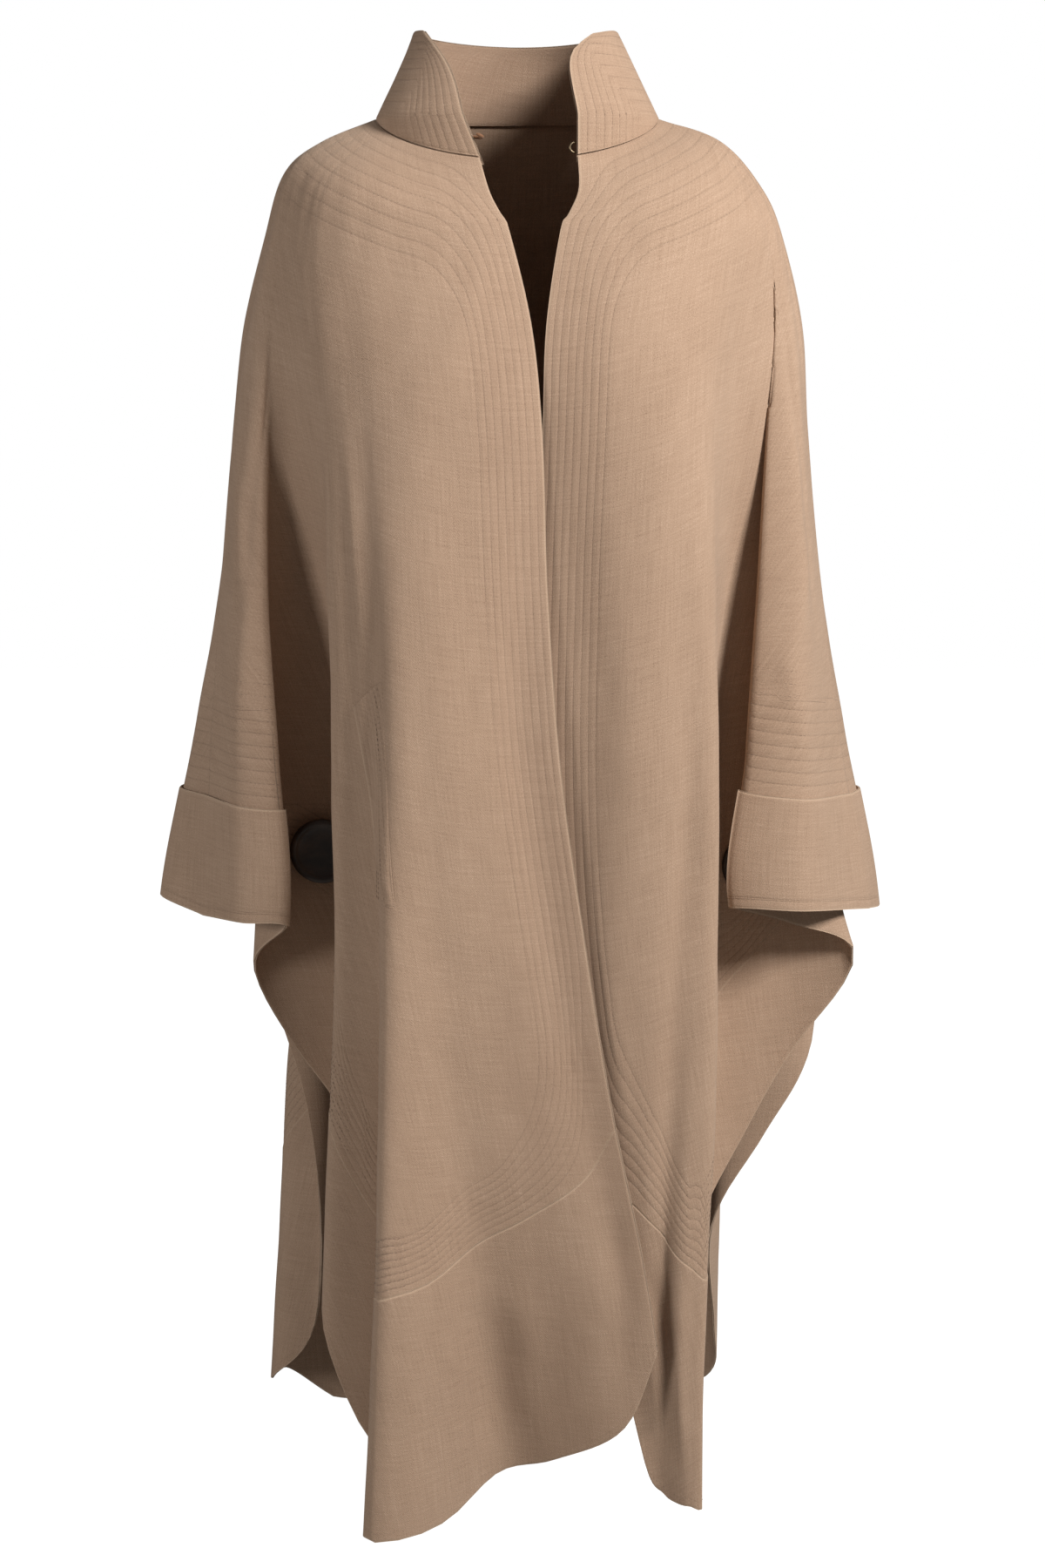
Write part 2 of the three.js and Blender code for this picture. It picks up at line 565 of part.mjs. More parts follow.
function hookShape() {
  const under = -COLLAR.wall / 2 - WIRE.hook - SEAM_GAP;
  const path = new THREE.CatmullRomCurve3([
    besideCollar(0, 0.16, -9, under, 0),
    besideCollar(0, 0.16, -3, under, 0),
    besideCollar(0, 0.16, 4.5, under + 0.4, 0),
    besideCollar(0, 0.16, 8, under + 3, 0.6),
    besideCollar(0, 0.16, 7.2, under + 6.4, 1.6),
    besideCollar(0, 0.16, 4, under + 7.2, 2.4),
  ]);
  const section = new THREE.Shape();
  section.absarc(0, 0, WIRE.hook, 0, Math.PI * 2);
  return new THREE.ExtrudeGeometry(section, {
    steps: 14, curveSegments: 8, bevelEnabled: false, extrudePath: path,
  });
}

function eyeShape() {
  const centre = besideCollar(1, 0.05, 1.2, -COLLAR.wall / 2 - WIRE.eye - SEAM_GAP, 1);
  const ring = new THREE.TorusGeometry(WIRE.ring, WIRE.eye, 6, 18);
  ring.lookAt(collarNode(1, 0.05, 0).normal);
  ring.translate(centre.x, centre.y, centre.z);
  return ring;
}

const wool = new THREE.MeshStandardMaterial({ color: 0xa58769, roughness: 0.95, metalness: 0 });
const woolInside = new THREE.MeshStandardMaterial({ color: 0x947759, roughness: 0.95, metalness: 0 });
const horn = new THREE.MeshStandardMaterial({ color: 0x2b211b, roughness: 0.45, metalness: 0 });
const thread = new THREE.MeshStandardMaterial({ color: 0x8a5a34, roughness: 0.8, metalness: 0 });
const metal = new THREE.MeshStandardMaterial({ color: 0x7a6a4c, roughness: 0.35, metalness: 1 });

const group = new THREE.Group();

function add(name, geometry, material) {
  const mesh = new THREE.Mesh(geometry, material);
  mesh.name = name;
  group.add(mesh);
  return mesh;
}

add("front_right", panel(frontRight, 3), wool);
add("front_left", panel(frontLeft, 3), wool);
add("back", panel(back, 3), wool);
add("front_right_hem_band", hemBand(frontRight, 3, 4), wool);
add("front_left_hem_band", hemBand(frontLeft, 3, 4), wool);
add("back_hem_band", hemBand(back, 3, 4), wool);
add("cuff_right", cuff(frontRight, 0, 3, -602, -597), wool);
add("cuff_left", cuff(frontLeft, back.end, back.end - 3, -584, -600), wool);
add("collar", collarLayer(0), wool);
add("collar_facing", collarLayer(INNER_LAYER), woolInside);
add("pocket_welt", pocketWelt(), wool);
seatButton(add("button_right", buttonShape(), horn), frontRight, 10, 13, -183, -651);
seatButton(add("button_left", buttonShape(), horn), frontLeft, 6.4, 9.6, 213, -665);
add("hook", hookShape(), thread);
add("eye", eyeShape(), metal);

export default group;
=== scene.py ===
"""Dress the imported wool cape: cloth shells, stitching, buttons, hook and eye, floor, light and camera.

All lengths are metres unless a name says millimetres. +Z is up, +X is the wearer's left and +Y the
wearer's back. The cape's cloth is given by lines that run down each sheet, as in the solid model.
"""
from __future__ import annotations

import logging
import math
from dataclasses import dataclass, field
from enum import Enum

import bpy
import numpy as np
from bpy.types import Material, Node, NodeSocket, NodeTree, Object
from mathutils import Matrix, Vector, noise

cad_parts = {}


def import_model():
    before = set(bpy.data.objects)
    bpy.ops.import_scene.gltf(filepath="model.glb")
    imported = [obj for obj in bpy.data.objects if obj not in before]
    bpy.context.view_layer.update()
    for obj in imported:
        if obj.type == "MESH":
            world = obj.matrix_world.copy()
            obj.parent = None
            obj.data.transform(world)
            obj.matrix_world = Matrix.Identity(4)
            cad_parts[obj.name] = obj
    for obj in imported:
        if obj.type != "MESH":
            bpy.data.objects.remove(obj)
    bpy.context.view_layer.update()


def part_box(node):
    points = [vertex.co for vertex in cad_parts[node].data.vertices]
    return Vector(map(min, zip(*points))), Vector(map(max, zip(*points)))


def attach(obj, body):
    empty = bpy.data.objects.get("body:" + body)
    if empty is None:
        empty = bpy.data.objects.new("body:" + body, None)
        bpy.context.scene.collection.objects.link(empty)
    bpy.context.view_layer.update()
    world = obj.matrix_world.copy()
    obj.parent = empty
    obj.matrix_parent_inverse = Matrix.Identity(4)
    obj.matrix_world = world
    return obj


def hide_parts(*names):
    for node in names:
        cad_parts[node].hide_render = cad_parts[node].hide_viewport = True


log = logging.getLogger("wool_cape")

Array = np.ndarray
Triple = tuple[float, float, float]

MM = 0.001
CLOTH = 2.4 * MM
BAND_CLOTH = 2.9 * MM
SEAM_GAP = 0.3 * MM
LAID_GAP = 1.2 * MM
COLLAR_WALL = 2.2 * MM

# Neck seam, collar and shoulder in millimetres, as cut.
NECK = {"right": 128, "left": 119, "front": 86, "back": 92, "front_drop": 40, "back_rise": 6}
SHOULDER = {"right": (0.2, 0.46), "left": (0.2, 0.58)}
COLLAR = {"top_side": 74, "top_back": 70, "lean_right": 0.26, "lean_left": 0.32, "seat": 1.6}
SHOULDER_ROWS = (0.5, 0.82)

# Steps to a line and to a row in the tables that measure the cloth.
FINE_LINES = 6
FINE_ROWS = 12

# How far a panel runs under its band's seam, where the band starts, and how proud it lies.
SEAM_TUCK = 1.4 * MM
BAND_START = 0.3 * MM
BAND_PROUD = 0.5 * MM

# Heights of the horizontal sections that each line gives x and y for, in millimetres.
LEVELS = (-100, -180, -270, -400, -550, -700, -850, -1000, -1130, -1270)


@dataclass(frozen=True)
class Line:
    """A line that runs down a sheet, in millimetres: a free edge, a fold's crest or its inner turn.

    seam is the height of the hem band's top seam on the line, low the height of the cut edge, and
    bow how far the line bows sideways between the neck seam and the first level.
    """

    name: str
    seam: float
    low: float
    x: tuple[float, ...]
    y: tuple[float, ...]
    bow: float = 0.0


OVERARM_RIGHT = Line("overarm", -707, -707,
    (-221, -241, -257, -271, -282, -288, -292, -295, -298, -300),
    (-22, -18, -12, -6, -24, -38, -45, -50, -50, -50))

OVERARM_LEFT = Line("overarm", -708, -708,
    (226, 245, 253, 268, 290, 316, 322, 326, 330, 334),
    (-20, -16, -10, -4, -4, -6, -8, -10, -10, -10))

RIGHT_FRONT = (
    Line("edge", -872, -1082,
        (-11, 8, 17, 22, 33, 54, 78, 108, 128, 142),
        (-112, -132, -144, -150, -154, -154, -153, -151, -148, -144), bow=-4),
    Line("edge inside", -920, -1160,
        (-34, -22, -16, -12, -2, 18, 42, 70, 88, 100),
        (-114, -136, -149, -156, -159, -158, -154, -148, -142, -136)),
    Line("middle", -957, -1199,
        (-62, -56, -54, -54, -48, -34, -14, 10, 24, 34),
        (-114, -138, -152, -162, -164, -160, -150, -136, -124, -114)),
    Line("trough", -978, -1213,
        (-88, -86, -84, -84, -80, -70, -55, -38, -26, -18),
        (-112, -136, -151, -163, -168, -166, -158, -142, -124, -108)),
    Line("first fold rise", -1002, -1236,
        (-108, -108, -106, -104, -102, -97, -90, -80, -72, -66),
        (-109, -131, -147, -162, -171, -176, -182, -180, -172, -160)),
    Line("first fold front", -1007, -1232,
        (-124, -125, -122, -117, -114, -114, -113, -112, -110, -108),
        (-106, -126, -141, -156, -168, -178, -192, -204, -208, -210)),
    Line("first fold crest", -1012, -1231,
        (-136, -136, -132, -125, -121, -122, -124, -128, -134, -141),
        (-102, -121, -135, -148, -158, -166, -180, -192, -200, -206)),
    Line("first inner turn", -990, -1216,
        (-147, -147, -141, -134, -128, -122, -113, -104, -100, -97),
        (-98, -115, -130, -141, -146, -146, -143, -140, -138, -137)),
    Line("second fold front", -946, -1166,
        (-158, -158, -151, -145, -141, -140, -140, -142, -145, -148),
        (-92, -109, -123, -133, -136, -134, -130, -126, -124, -124)),
    Line("second fold crest", -874, -1064,
        (-171, -172, -166, -163, -163, -165, -171, -178, -184, -188),
        (-84, -99, -110, -118, -118, -116, -113, -110, -108, -108)),
    Line("second inner turn", -790, -980,
        (-181, -184, -176, -164, -152, -148, -150, -156, -162, -166),
        (-76, -88, -92, -82, -66, -58, -58, -62, -66, -68)),
    Line("side valley inside", -722, -915,
        (-190, -195, -190, -178, -160, -153, -158, -166, -172, -176),
        (-67, -76, -72, -46, -22, -13, -18, -30, -36, -40)),
    Line("side valley outside", -668, -838,
        (-198, -206, -205, -203, -205, -212, -212, -205, -204, -204),
        (-58, -64, -56, -32, -14, -9, -14, -28, -34, -38)),
    Line("sleeve turn", -664, -758,
        (-205, -216, -219, -224, -234, -243, -250, -240, -236, -234),
        (-50, -52, -52, -44, -32, -26, -30, -36, -40, -42)),
    Line("sleeve inner edge", -704, -708,
        (-211, -225, -231, -229, -219, -212, -240, -255, -255, -255),
        (-42, -44, -56, -64, -72, -80, -60, -50, -50, -50)),
    Line("sleeve front", -705, -705,
        (-217, -234, -246, -254, -253, -250, -262, -272, -275, -278),
        (-33, -34, -42, -52, -66, -76, -70, -60, -60, -60)),
    OVERARM_RIGHT,
)

LEFT_FRONT = (
    Line("edge", -872, -1078,
        (32, 20, 17, 12, 10, 18, 38, 66, 88, 102),
        (-110, -130, -138, -139, -138, -136, -134, -130, -127, -124), bow=8),
    Line("edge inside", -925, -1202,
        (56, 48, 46, 42, 40, 46, 64, 88, 106, 118),
        (-112, -134, -146, -145, -142, -138, -134, -130, -127, -124), bow=4),
    Line("middle", -951, -1227,
        (82, 80, 80, 78, 76, 80, 92, 108, 122, 132),
        (-112, -137, -151, -153, -150, -145, -139, -134, -131, -129)),
    Line("body front", -985, -1232,
        (112, 114, 114, 113, 113, 116, 122, 130, 136, 142),
        (-109, -133, -149, -155, -154, -150, -146, -142, -140, -139)),
    Line("body fold front", -1004, -1232,
        (140, 142, 140, 142, 145, 148, 150, 150, 150, 152),
        (-100, -122, -138, -146, -147, -145, -144, -143, -144, -145)),
    Line("body fold crest", -1012, -1231,
        (166, 164, 159, 163, 169, 171, 171, 165, 161, 160),
        (-86, -104, -118, -126, -128, -128, -130, -134, -138, -142)),
    Line("body inner turn", -930, -1180,
        (180, 178, 172, 168, 163, 158, 152, 140, 128, 120),
        (-74, -86, -88, -80, -66, -62, -66, -80, -92, -100)),
    Line("side valley inside", -808, -1030,
        (190, 190, 188, 182, 176, 174, 168, 156, 146, 140),
        (-64, -72, -66, -48, -28, -18, -24, -44, -60, -68)),
    Line("side valley middle", -750, -925,
        (199, 204, 207, 209, 211, 214, 210, 200, 190, 184),
        (-56, -60, -54, -36, -18, -10, -12, -22, -36, -44)),
    Line("side valley outside", -704, -834,
        (206, 214, 221, 232, 242, 252, 258, 250, 244, 240),
        (-50, -52, -46, -32, -16, -8, -8, -14, -20, -24)),
    Line("sleeve turn", -690, -745,
        (211, 222, 231, 246, 264, 292, 334, 330, 326, 320),
        (-44, -44, -42, -36, -26, -22, -22, -26, -28, -30)),
    Line("sleeve return", -684, -712,
        (214, 222, 225, 229, 232, 240, 300, 320, 320, 320),
        (-40, -45, -48, -50, -51, -50, -38, -34, -34, -34)),
    Line("sleeve inner edge", -687, -690,
        (217, 221, 215, 208, 199, 190, 270, 300, 300, 300),
        (-36, -46, -54, -66, -74, -80, -55, -45, -45, -45)),
    Line("sleeve front", -693, -693,
        (221, 235, 241, 247, 250, 252, 290, 310, 312, 314),
        (-29, -35, -46, -60, -72, -82, -66, -50, -50, -50)),
    OVERARM_LEFT,
)

BACK = (
    OVERARM_RIGHT,
    Line("right sleeve outside", -698, -698,
        (-226, -247, -259, -273, -302, -332, -340, -344, -346, -348),
        (0, 7, 14, 20, 14, 6, 4, 4, 4, 4)),
    Line("right sleeve back", -704, -704,
        (-216, -236, -248, -258, -278, -302, -310, -312, -314, -316),
        (26, 34, 44, 52, 54, 54, 54, 54, 54, 54)),
    Line("right sleeve inner edge", -704, -710,
        (-206, -224, -232, -233, -234, -242, -262, -270, -270, -270),
        (46, 56, 64, 70, 74, 76, 66, 50, 50, 50)),
    Line("right sleeve turn", -688, -765,
        (-196, -212, -218, -220, -226, -236, -252, -250, -246, -244),
        (58, 66, 60, 48, 34, 28, 24, 22, 20, 20)),
    Line("right side valley", -735, -905,
        (-186, -198, -200, -196, -188, -184, -200, -205, -205, -205),
        (68, 76, 66, 40, 10, -2, 4, 10, 12, 14)),
    Line("right wrap front", -862, -1119,
        (-176, -184, -182, -170, -160, -158, -176, -190, -199, -206),
        (78, 86, 80, 56, 32, 22, 22, 25, 29, 33)),
    Line("right wrap crest", -955, -1195,
        (-168, -176, -177, -176, -181, -196, -222, -232, -240, -249),
        (86, 98, 102, 98, 88, 78, 68, 62, 60, 60)),
    Line("right side", -1004, -1226,
        (-150, -158, -162, -166, -173, -186, -208, -224, -234, -242),
        (98, 116, 126, 130, 132, 136, 140, 146, 150, 154)),
    Line("right back fold", -1032, -1274,
        (-112, -118, -122, -128, -136, -146, -160, -172, -180, -186),
        (106, 128, 142, 152, 158, 163, 168, 173, 177, 180)),
    Line("right back trough", -1044, -1280,
        (-66, -70, -74, -78, -83, -88, -95, -101, -106, -110),
        (110, 132, 146, 154, 155, 153, 150, 147, 144, 142)),
    Line("centre back", -1050, -1284,
        (-14, -15, -16, -16, -16, -16, -15, -14, -13, -12),
        (112, 136, 152, 163, 172, 181, 192, 202, 210, 216)),
    Line("left back trough", -1046, -1280,
        (44, 46, 48, 50, 54, 58, 62, 66, 68, 70),
        (110, 133, 147, 155, 158, 158, 156, 153, 150, 148)),
    Line("left back fold", -1034, -1268,
        (104, 109, 113, 118, 125, 132, 138, 143, 147, 150),
        (104, 126, 140, 150, 158, 164, 172, 180, 186, 190)),
    Line("left side", -1006, -1228,
        (146, 154, 159, 164, 171, 178, 184, 188, 191, 193),
        (96, 114, 125, 130, 134, 138, 142, 146, 149, 152)),
    Line("left wrap crest", -930, -1150,
        (168, 176, 178, 179, 184, 191, 196, 194, 190, 188),
        (84, 97, 102, 99, 92, 88, 88, 90, 92, 94)),
    Line("left wrap front", -842, -1028,
        (178, 187, 188, 186, 184, 184, 187, 184, 178, 174),
        (76, 86, 82, 58, 36, 26, 28, 32, 36, 40)),
    Line("left side valley", -765, -935,
        (188, 200, 204, 206, 209, 213, 230, 226, 222, 220),
        (67, 75, 66, 42, 14, 0, 14, 20, 24, 26)),
    Line("left sleeve turn", -690, -845,
        (198, 213, 219, 226, 242, 262, 274, 270, 266, 262),
        (57, 65, 60, 50, 38, 30, 24, 22, 22, 22)),
    Line("left sleeve inner edge", -698, -704,
        (208, 225, 231, 236, 246, 262, 290, 300, 300, 300),
        (46, 56, 64, 70, 76, 80, 66, 50, 50, 50)),
    Line("left sleeve back", -706, -706,
        (218, 237, 245, 256, 278, 306, 316, 320, 322, 324),
        (26, 34, 44, 52, 56, 60, 60, 60, 60, 60)),
    Line("left sleeve outside", -712, -712,
        (228, 249, 257, 271, 298, 330, 340, 344, 346, 348),
        (0, 7, 14, 20, 24, 28, 30, 30, 30, 30)),
    OVERARM_LEFT,
)


def mix(a: float, b: float, t: float) -> float:
    """Return the value a share t of the way from a to b."""
    return a + (b - a) * t


def placed(name: str, data: bpy.types.ID) -> Object:
    """Return a new object at the origin, linked to the scene."""
    made = bpy.data.objects.new(name, data)
    bpy.context.scene.collection.objects.link(made)
    return made


def smooth(a: float, b: float, t: Array | float) -> Array:
    """Return a smooth step that is 0 at a and 1 at b.

    Args:
        a: Value where the step starts.
        b: Value where the step ends.
        t: Values to look at.

    Returns:
        The step at each value.
    """
    share = np.clip((np.asarray(t, float) - a) / (b - a), 0, 1)
    return share * share * (3 - 2 * share)


def unit(vectors: Array) -> Array:
    """Return the vectors scaled to length one."""
    return vectors / np.maximum(np.linalg.norm(vectors, axis=-1, keepdims=True), 1e-12)


def travelled(points: Array, axis: int = 0) -> Array:
    """Return the length gone along one axis of a path or grid of points, from zero at its start."""
    steps = np.linalg.norm(np.diff(points, axis=axis), axis=-1)
    start = np.zeros_like(np.take(steps, [0], axis=axis))
    return np.concatenate([start, np.cumsum(steps, axis=axis)], axis=axis)


def looked_up(values: Array, u: Array, w: Array) -> Array:
    """Return a measured table's values at line numbers u and row numbers w."""
    u, w = np.broadcast_arrays(np.asarray(u, float), np.asarray(w, float))
    a = np.clip(u * FINE_LINES, 0, values.shape[0] - 1.000001)
    b = np.clip(w * FINE_ROWS, 0, values.shape[1] - 1.000001)
    i, j = a.astype(int), b.astype(int)
    f, g = a - i, b - j
    first = values[i, j] * (1 - g) + values[i, j + 1] * g
    second = values[i + 1, j] * (1 - g) + values[i + 1, j + 1] * g
    return first * (1 - f) + second * f


def curve_weights(share: Array) -> Array:
    """Return the four weights of a smooth curve through evenly numbered values.

    Args:
        share: How far each place lies from the second of its four values to the third.

    Returns:
        The weights, with the four values on the last axis.
    """
    f = np.asarray(share)[..., None]
    squared = f * f
    cubed = squared * f
    parts = (
        -0.5 * f + squared - 0.5 * cubed,
        1 - 2.5 * squared + 1.5 * cubed,
        0.5 * f + 2 * squared - 1.5 * cubed,
        -0.5 * squared + 0.5 * cubed,
    )
    return np.concatenate(parts, axis=-1)


def extended(values: Array, axis: int) -> Array:
    """Return the values with one more at each end of an axis, in line with the last two."""
    moved = np.moveaxis(values, axis, 0)
    first = 2 * moved[0] - moved[1]
    last = 2 * moved[-1] - moved[-2]
    return np.moveaxis(np.concatenate([first[None], moved, last[None]]), 0, axis)


def neck_point(angle: Array | float) -> Array:
    """Return points of the neck seam, in metres.

    Args:
        angle: Degrees from centre front, going round by the wearer's right side.

    Returns:
        The points, with x, y and z on the last axis.
    """
    turn = np.radians(angle)
    s, c = np.sin(turn), np.cos(turn)
    half = np.where(s > 0, NECK["right"], NECK["left"])
    depth = np.where(c > 0, NECK["front"], NECK["back"])
    front_z = -NECK["front_drop"] * np.maximum(c, 0) ** 1.2
    z = np.where(c > 0, front_z, -NECK["back_rise"] * c)
    return np.stack([-half * s, -depth * c, z], axis=-1) * MM


@dataclass(frozen=True)
class Crease:
    """A soft trough or ridge placed on a sheet.

    path is a row of (line number, height in millimetres), width its half width in millimetres, and
    rise its height over the cloth in millimetres, below zero for a trough.
    """

    path: tuple[tuple[float, float], ...]
    width: float
    rise: float


class Sheet:
    """A sheet of cloth: u counts its lines and w counts its rows from the neck seam down."""

    def __init__(
        self,
        lines: tuple[Line, ...],
        angles: tuple[float, float],
        out: int,
        creases: tuple[Crease, ...] = (),
        still: tuple[float, ...] = (),
    ) -> None:
        """Work out the sheet's net of points.

        Args:
            lines: The lines that run down the sheet.
            angles: Degrees round the neck seam of the first and the last line.
            out: 1 or -1, the side of the net that faces outwards.
            creases: Troughs and ridges on the sheet.
            still: Line numbers of seams where the cloth isn't displaced.
        """
        self.lines = lines
        self.out = out
        self.end = len(lines) - 1
        self.last_row = len(LEVELS) + 2
        top = np.array([(line.x[0], line.y[0]) for line in lines], float)
        spans = travelled(top)
        angle = mix(angles[0], angles[1], spans / spans[-1])
        columns = [self._column(line, a) for line, a in zip(lines, angle)]
        self.net = extended(extended(np.array(columns) * MM, 0), 1)
        self.creases = creases
        self.still = still
        self._measure()

    def _column(self, line: Line, angle: float) -> list[list[float]]:
        """Return one line's points from the neck seam over the shoulder and down, in millimetres."""
        neck = neck_point(angle) / MM
        sideways = math.sin(math.radians(angle)) ** 2
        near, far = SHOULDER["right"] if neck[0] < 0 else SHOULDER["left"]
        points = [list(neck)]
        for along, fall in zip(SHOULDER_ROWS, (near, far)):
            share = mix(along, fall, sideways)
            x = mix(neck[0], line.x[0], along) + line.bow * math.sin(math.pi * along)
            y = mix(neck[1], line.y[0], along)
            points.append([x, y, mix(neck[2], LEVELS[0], share)])
        points += [[x, y, z] for x, y, z in zip(line.x, line.y, LEVELS)]
        return points

    def plain(self, u: Array, w: Array) -> Array:
        """Return points of the sheet before its creases.

        Args:
            u: Line numbers.
            w: Row numbers, of the same shape.

        Returns:
            The points, with x, y and z on the last axis.
        """
        u, w = np.broadcast_arrays(np.asarray(u, float), np.asarray(w, float))
        i = np.clip(np.floor(u).astype(int), 0, self.end - 1)
        j = np.clip(np.floor(w).astype(int), 0, self.last_row - 1)
        across = curve_weights(u - i)
        down = curve_weights(w - j)
        total = np.zeros(u.shape + (3,))
        for a in range(4):
            for b in range(4):
                weight = across[..., a] * down[..., b]
                total += weight[..., None] * self.net[i + a, j + b]
        return total

    def normal(self, u: Array, w: Array) -> Array:
        """Return the outward unit normals at line numbers u and row numbers w."""
        u, w = np.broadcast_arrays(np.asarray(u, float), np.asarray(w, float))
        step = 0.02
        right, left = np.minimum(u + step, self.end), np.maximum(u - step, 0)
        low, high = np.minimum(w + step, self.last_row), np.maximum(w - step, 0)
        along = self.plain(right, w) - self.plain(left, w)
        down = self.plain(u, low) - self.plain(u, high)
        return unit(np.cross(along, down)) * self.out

    def row_at(self, u: Array, height: Array) -> Array:
        """Return the rows at which lines u reach a height in millimetres."""
        u, height = np.broadcast_arrays(np.asarray(u, float), np.asarray(height, float) * MM)
        above = np.ones(u.shape)
        below = np.full(u.shape, float(self.last_row))
        for _ in range(36):
            middle = (above + below) / 2
            higher = self.plain(u, middle)[..., 2] > height
            above = np.where(higher, middle, above)
            below = np.where(higher, below, middle)
        return (above + below) / 2

    def edge(self, name: str, u: Array) -> Array:
        """Return the height, in millimetres, of the seam or low edge at line numbers u."""
        values = extended(np.array([getattr(line, name) for line in self.lines], float), 0)
        u = np.asarray(u, float)
        i = np.clip(np.floor(u).astype(int), 0, self.end - 1)
        weights = curve_weights(u - i)
        return sum(weights[..., a] * values[i + a] for a in range(4))

    def number(self, name: str) -> int:
        """Return the number of the line with this name."""
        return next(i for i, line in enumerate(self.lines) if line.name == name)

    def _measure(self) -> None:
        """Measure the cloth along its lines and rows, for its flat coordinates and its creases."""
        self.fine_u = np.linspace(0, self.end, self.end * FINE_LINES + 1)
        self.fine_w = np.linspace(0, self.last_row, self.last_row * FINE_ROWS + 1)
        points = self.plain(self.fine_u[:, None], self.fine_w[None, :])
        self.length = travelled(points, 1)
        self.width = travelled(points[:, 7 * FINE_ROWS])
        self.paths = []
        for crease in self.creases:
            u = np.array([p[0] for p in crease.path])
            w = self.row_at(u, np.array([p[1] for p in crease.path]))
            self.paths.append(self.flat(u, w))

    def flat(self, u: Array, w: Array) -> Array:
        """Return the flat coordinates of places on the cloth: metres across and metres down."""
        down = looked_up(self.length, u, w)
        across = np.interp(np.broadcast_to(u, down.shape), self.fine_u, self.width)
        return np.stack([across, down], axis=-1)

    def rise(self, u: Array, w: Array) -> Array:
        """Return how far the creases and the cloth's own unevenness move places outwards."""
        flat = self.flat(u, w)
        total = np.zeros(flat.shape[:-1])
        for crease, path in zip(self.creases, self.paths):
            total += crease_rise(flat, path, crease.width * MM) * crease.rise * MM
        total += unevenness(flat)
        for line in self.still:
            total *= smooth(0.002, 0.022, np.abs(flat[..., 0] - np.interp(line, self.fine_u, self.width)))
        return total * smooth(0.004, 0.03, flat[..., 1])

    def point(self, u: Array, w: Array, lift: float = 0.0) -> Array:
        """Return points of the creased cloth, moved out along its normal by lift."""
        normal = self.normal(u, w)
        return self.plain(u, w) + normal * (self.rise(u, w) + lift)[..., None]


def crease_rise(flat: Array, path: Array, width: float) -> Array:
    """Return the height, from 0 to 1, of a crease that follows a path.

    Args:
        flat: Places on the cloth.
        path: The crease's path on the cloth, from one end to the other.
        width: Half of the crease's width.

    Returns:
        The height at each place. It fades at both of the path's ends.
    """
    best = np.full(flat.shape[:-1], 1e9)
    share = np.zeros(flat.shape[:-1])
    steps = np.linalg.norm(np.diff(path, axis=0), axis=1)
    starts = np.concatenate([[0], np.cumsum(steps)])
    for k, step in enumerate(steps):
        along = (path[k + 1] - path[k]) / step
        t = np.clip((flat - path[k]) @ along, 0, step)
        distance = np.linalg.norm(flat - path[k] - t[..., None] * along, axis=-1)
        nearer = distance < best
        best = np.where(nearer, distance, best)
        share = np.where(nearer, (starts[k] + t) / starts[-1], share)
    fade = smooth(0, 0.3, share) * smooth(0, 0.3, 1 - share)
    return np.exp(-((best / width) ** 2) * 1.6) * (0.12 + 0.88 * fade) * smooth(2.2, 1.4, best / width)


def unevenness(flat: Array) -> Array:
    """Return the small soft waves that hanging wool has everywhere, in metres."""
    shape = flat.shape[:-1]
    places = flat.reshape(-1, 2)
    values = np.empty(len(places))
    for k, (x, y) in enumerate(places):
        wide = noise.noise(Vector((x * 9.0, y * 4.5, 3.7)))
        fine = noise.noise(Vector((x * 26.0, y * 15.0, 8.1)))
        values[k] = 0.0017 * wide + 0.0006 * fine
    return values.reshape(shape)


def finished(name: str, points: Array, faces: list[tuple[int, ...]], material: Material) -> Object:
    """Return a smooth piece at the origin.

    Args:
        name: Its name.
        points: Its vertices.
        faces: Its faces.
        material: Its finish.

    Returns:
        The piece.
    """
    mesh = bpy.data.meshes.new(name)
    mesh.from_pydata(points.tolist(), [], faces)
    mesh.validate()
    mesh.shade_smooth()
    mesh.materials.append(material)
    return placed(name, mesh)


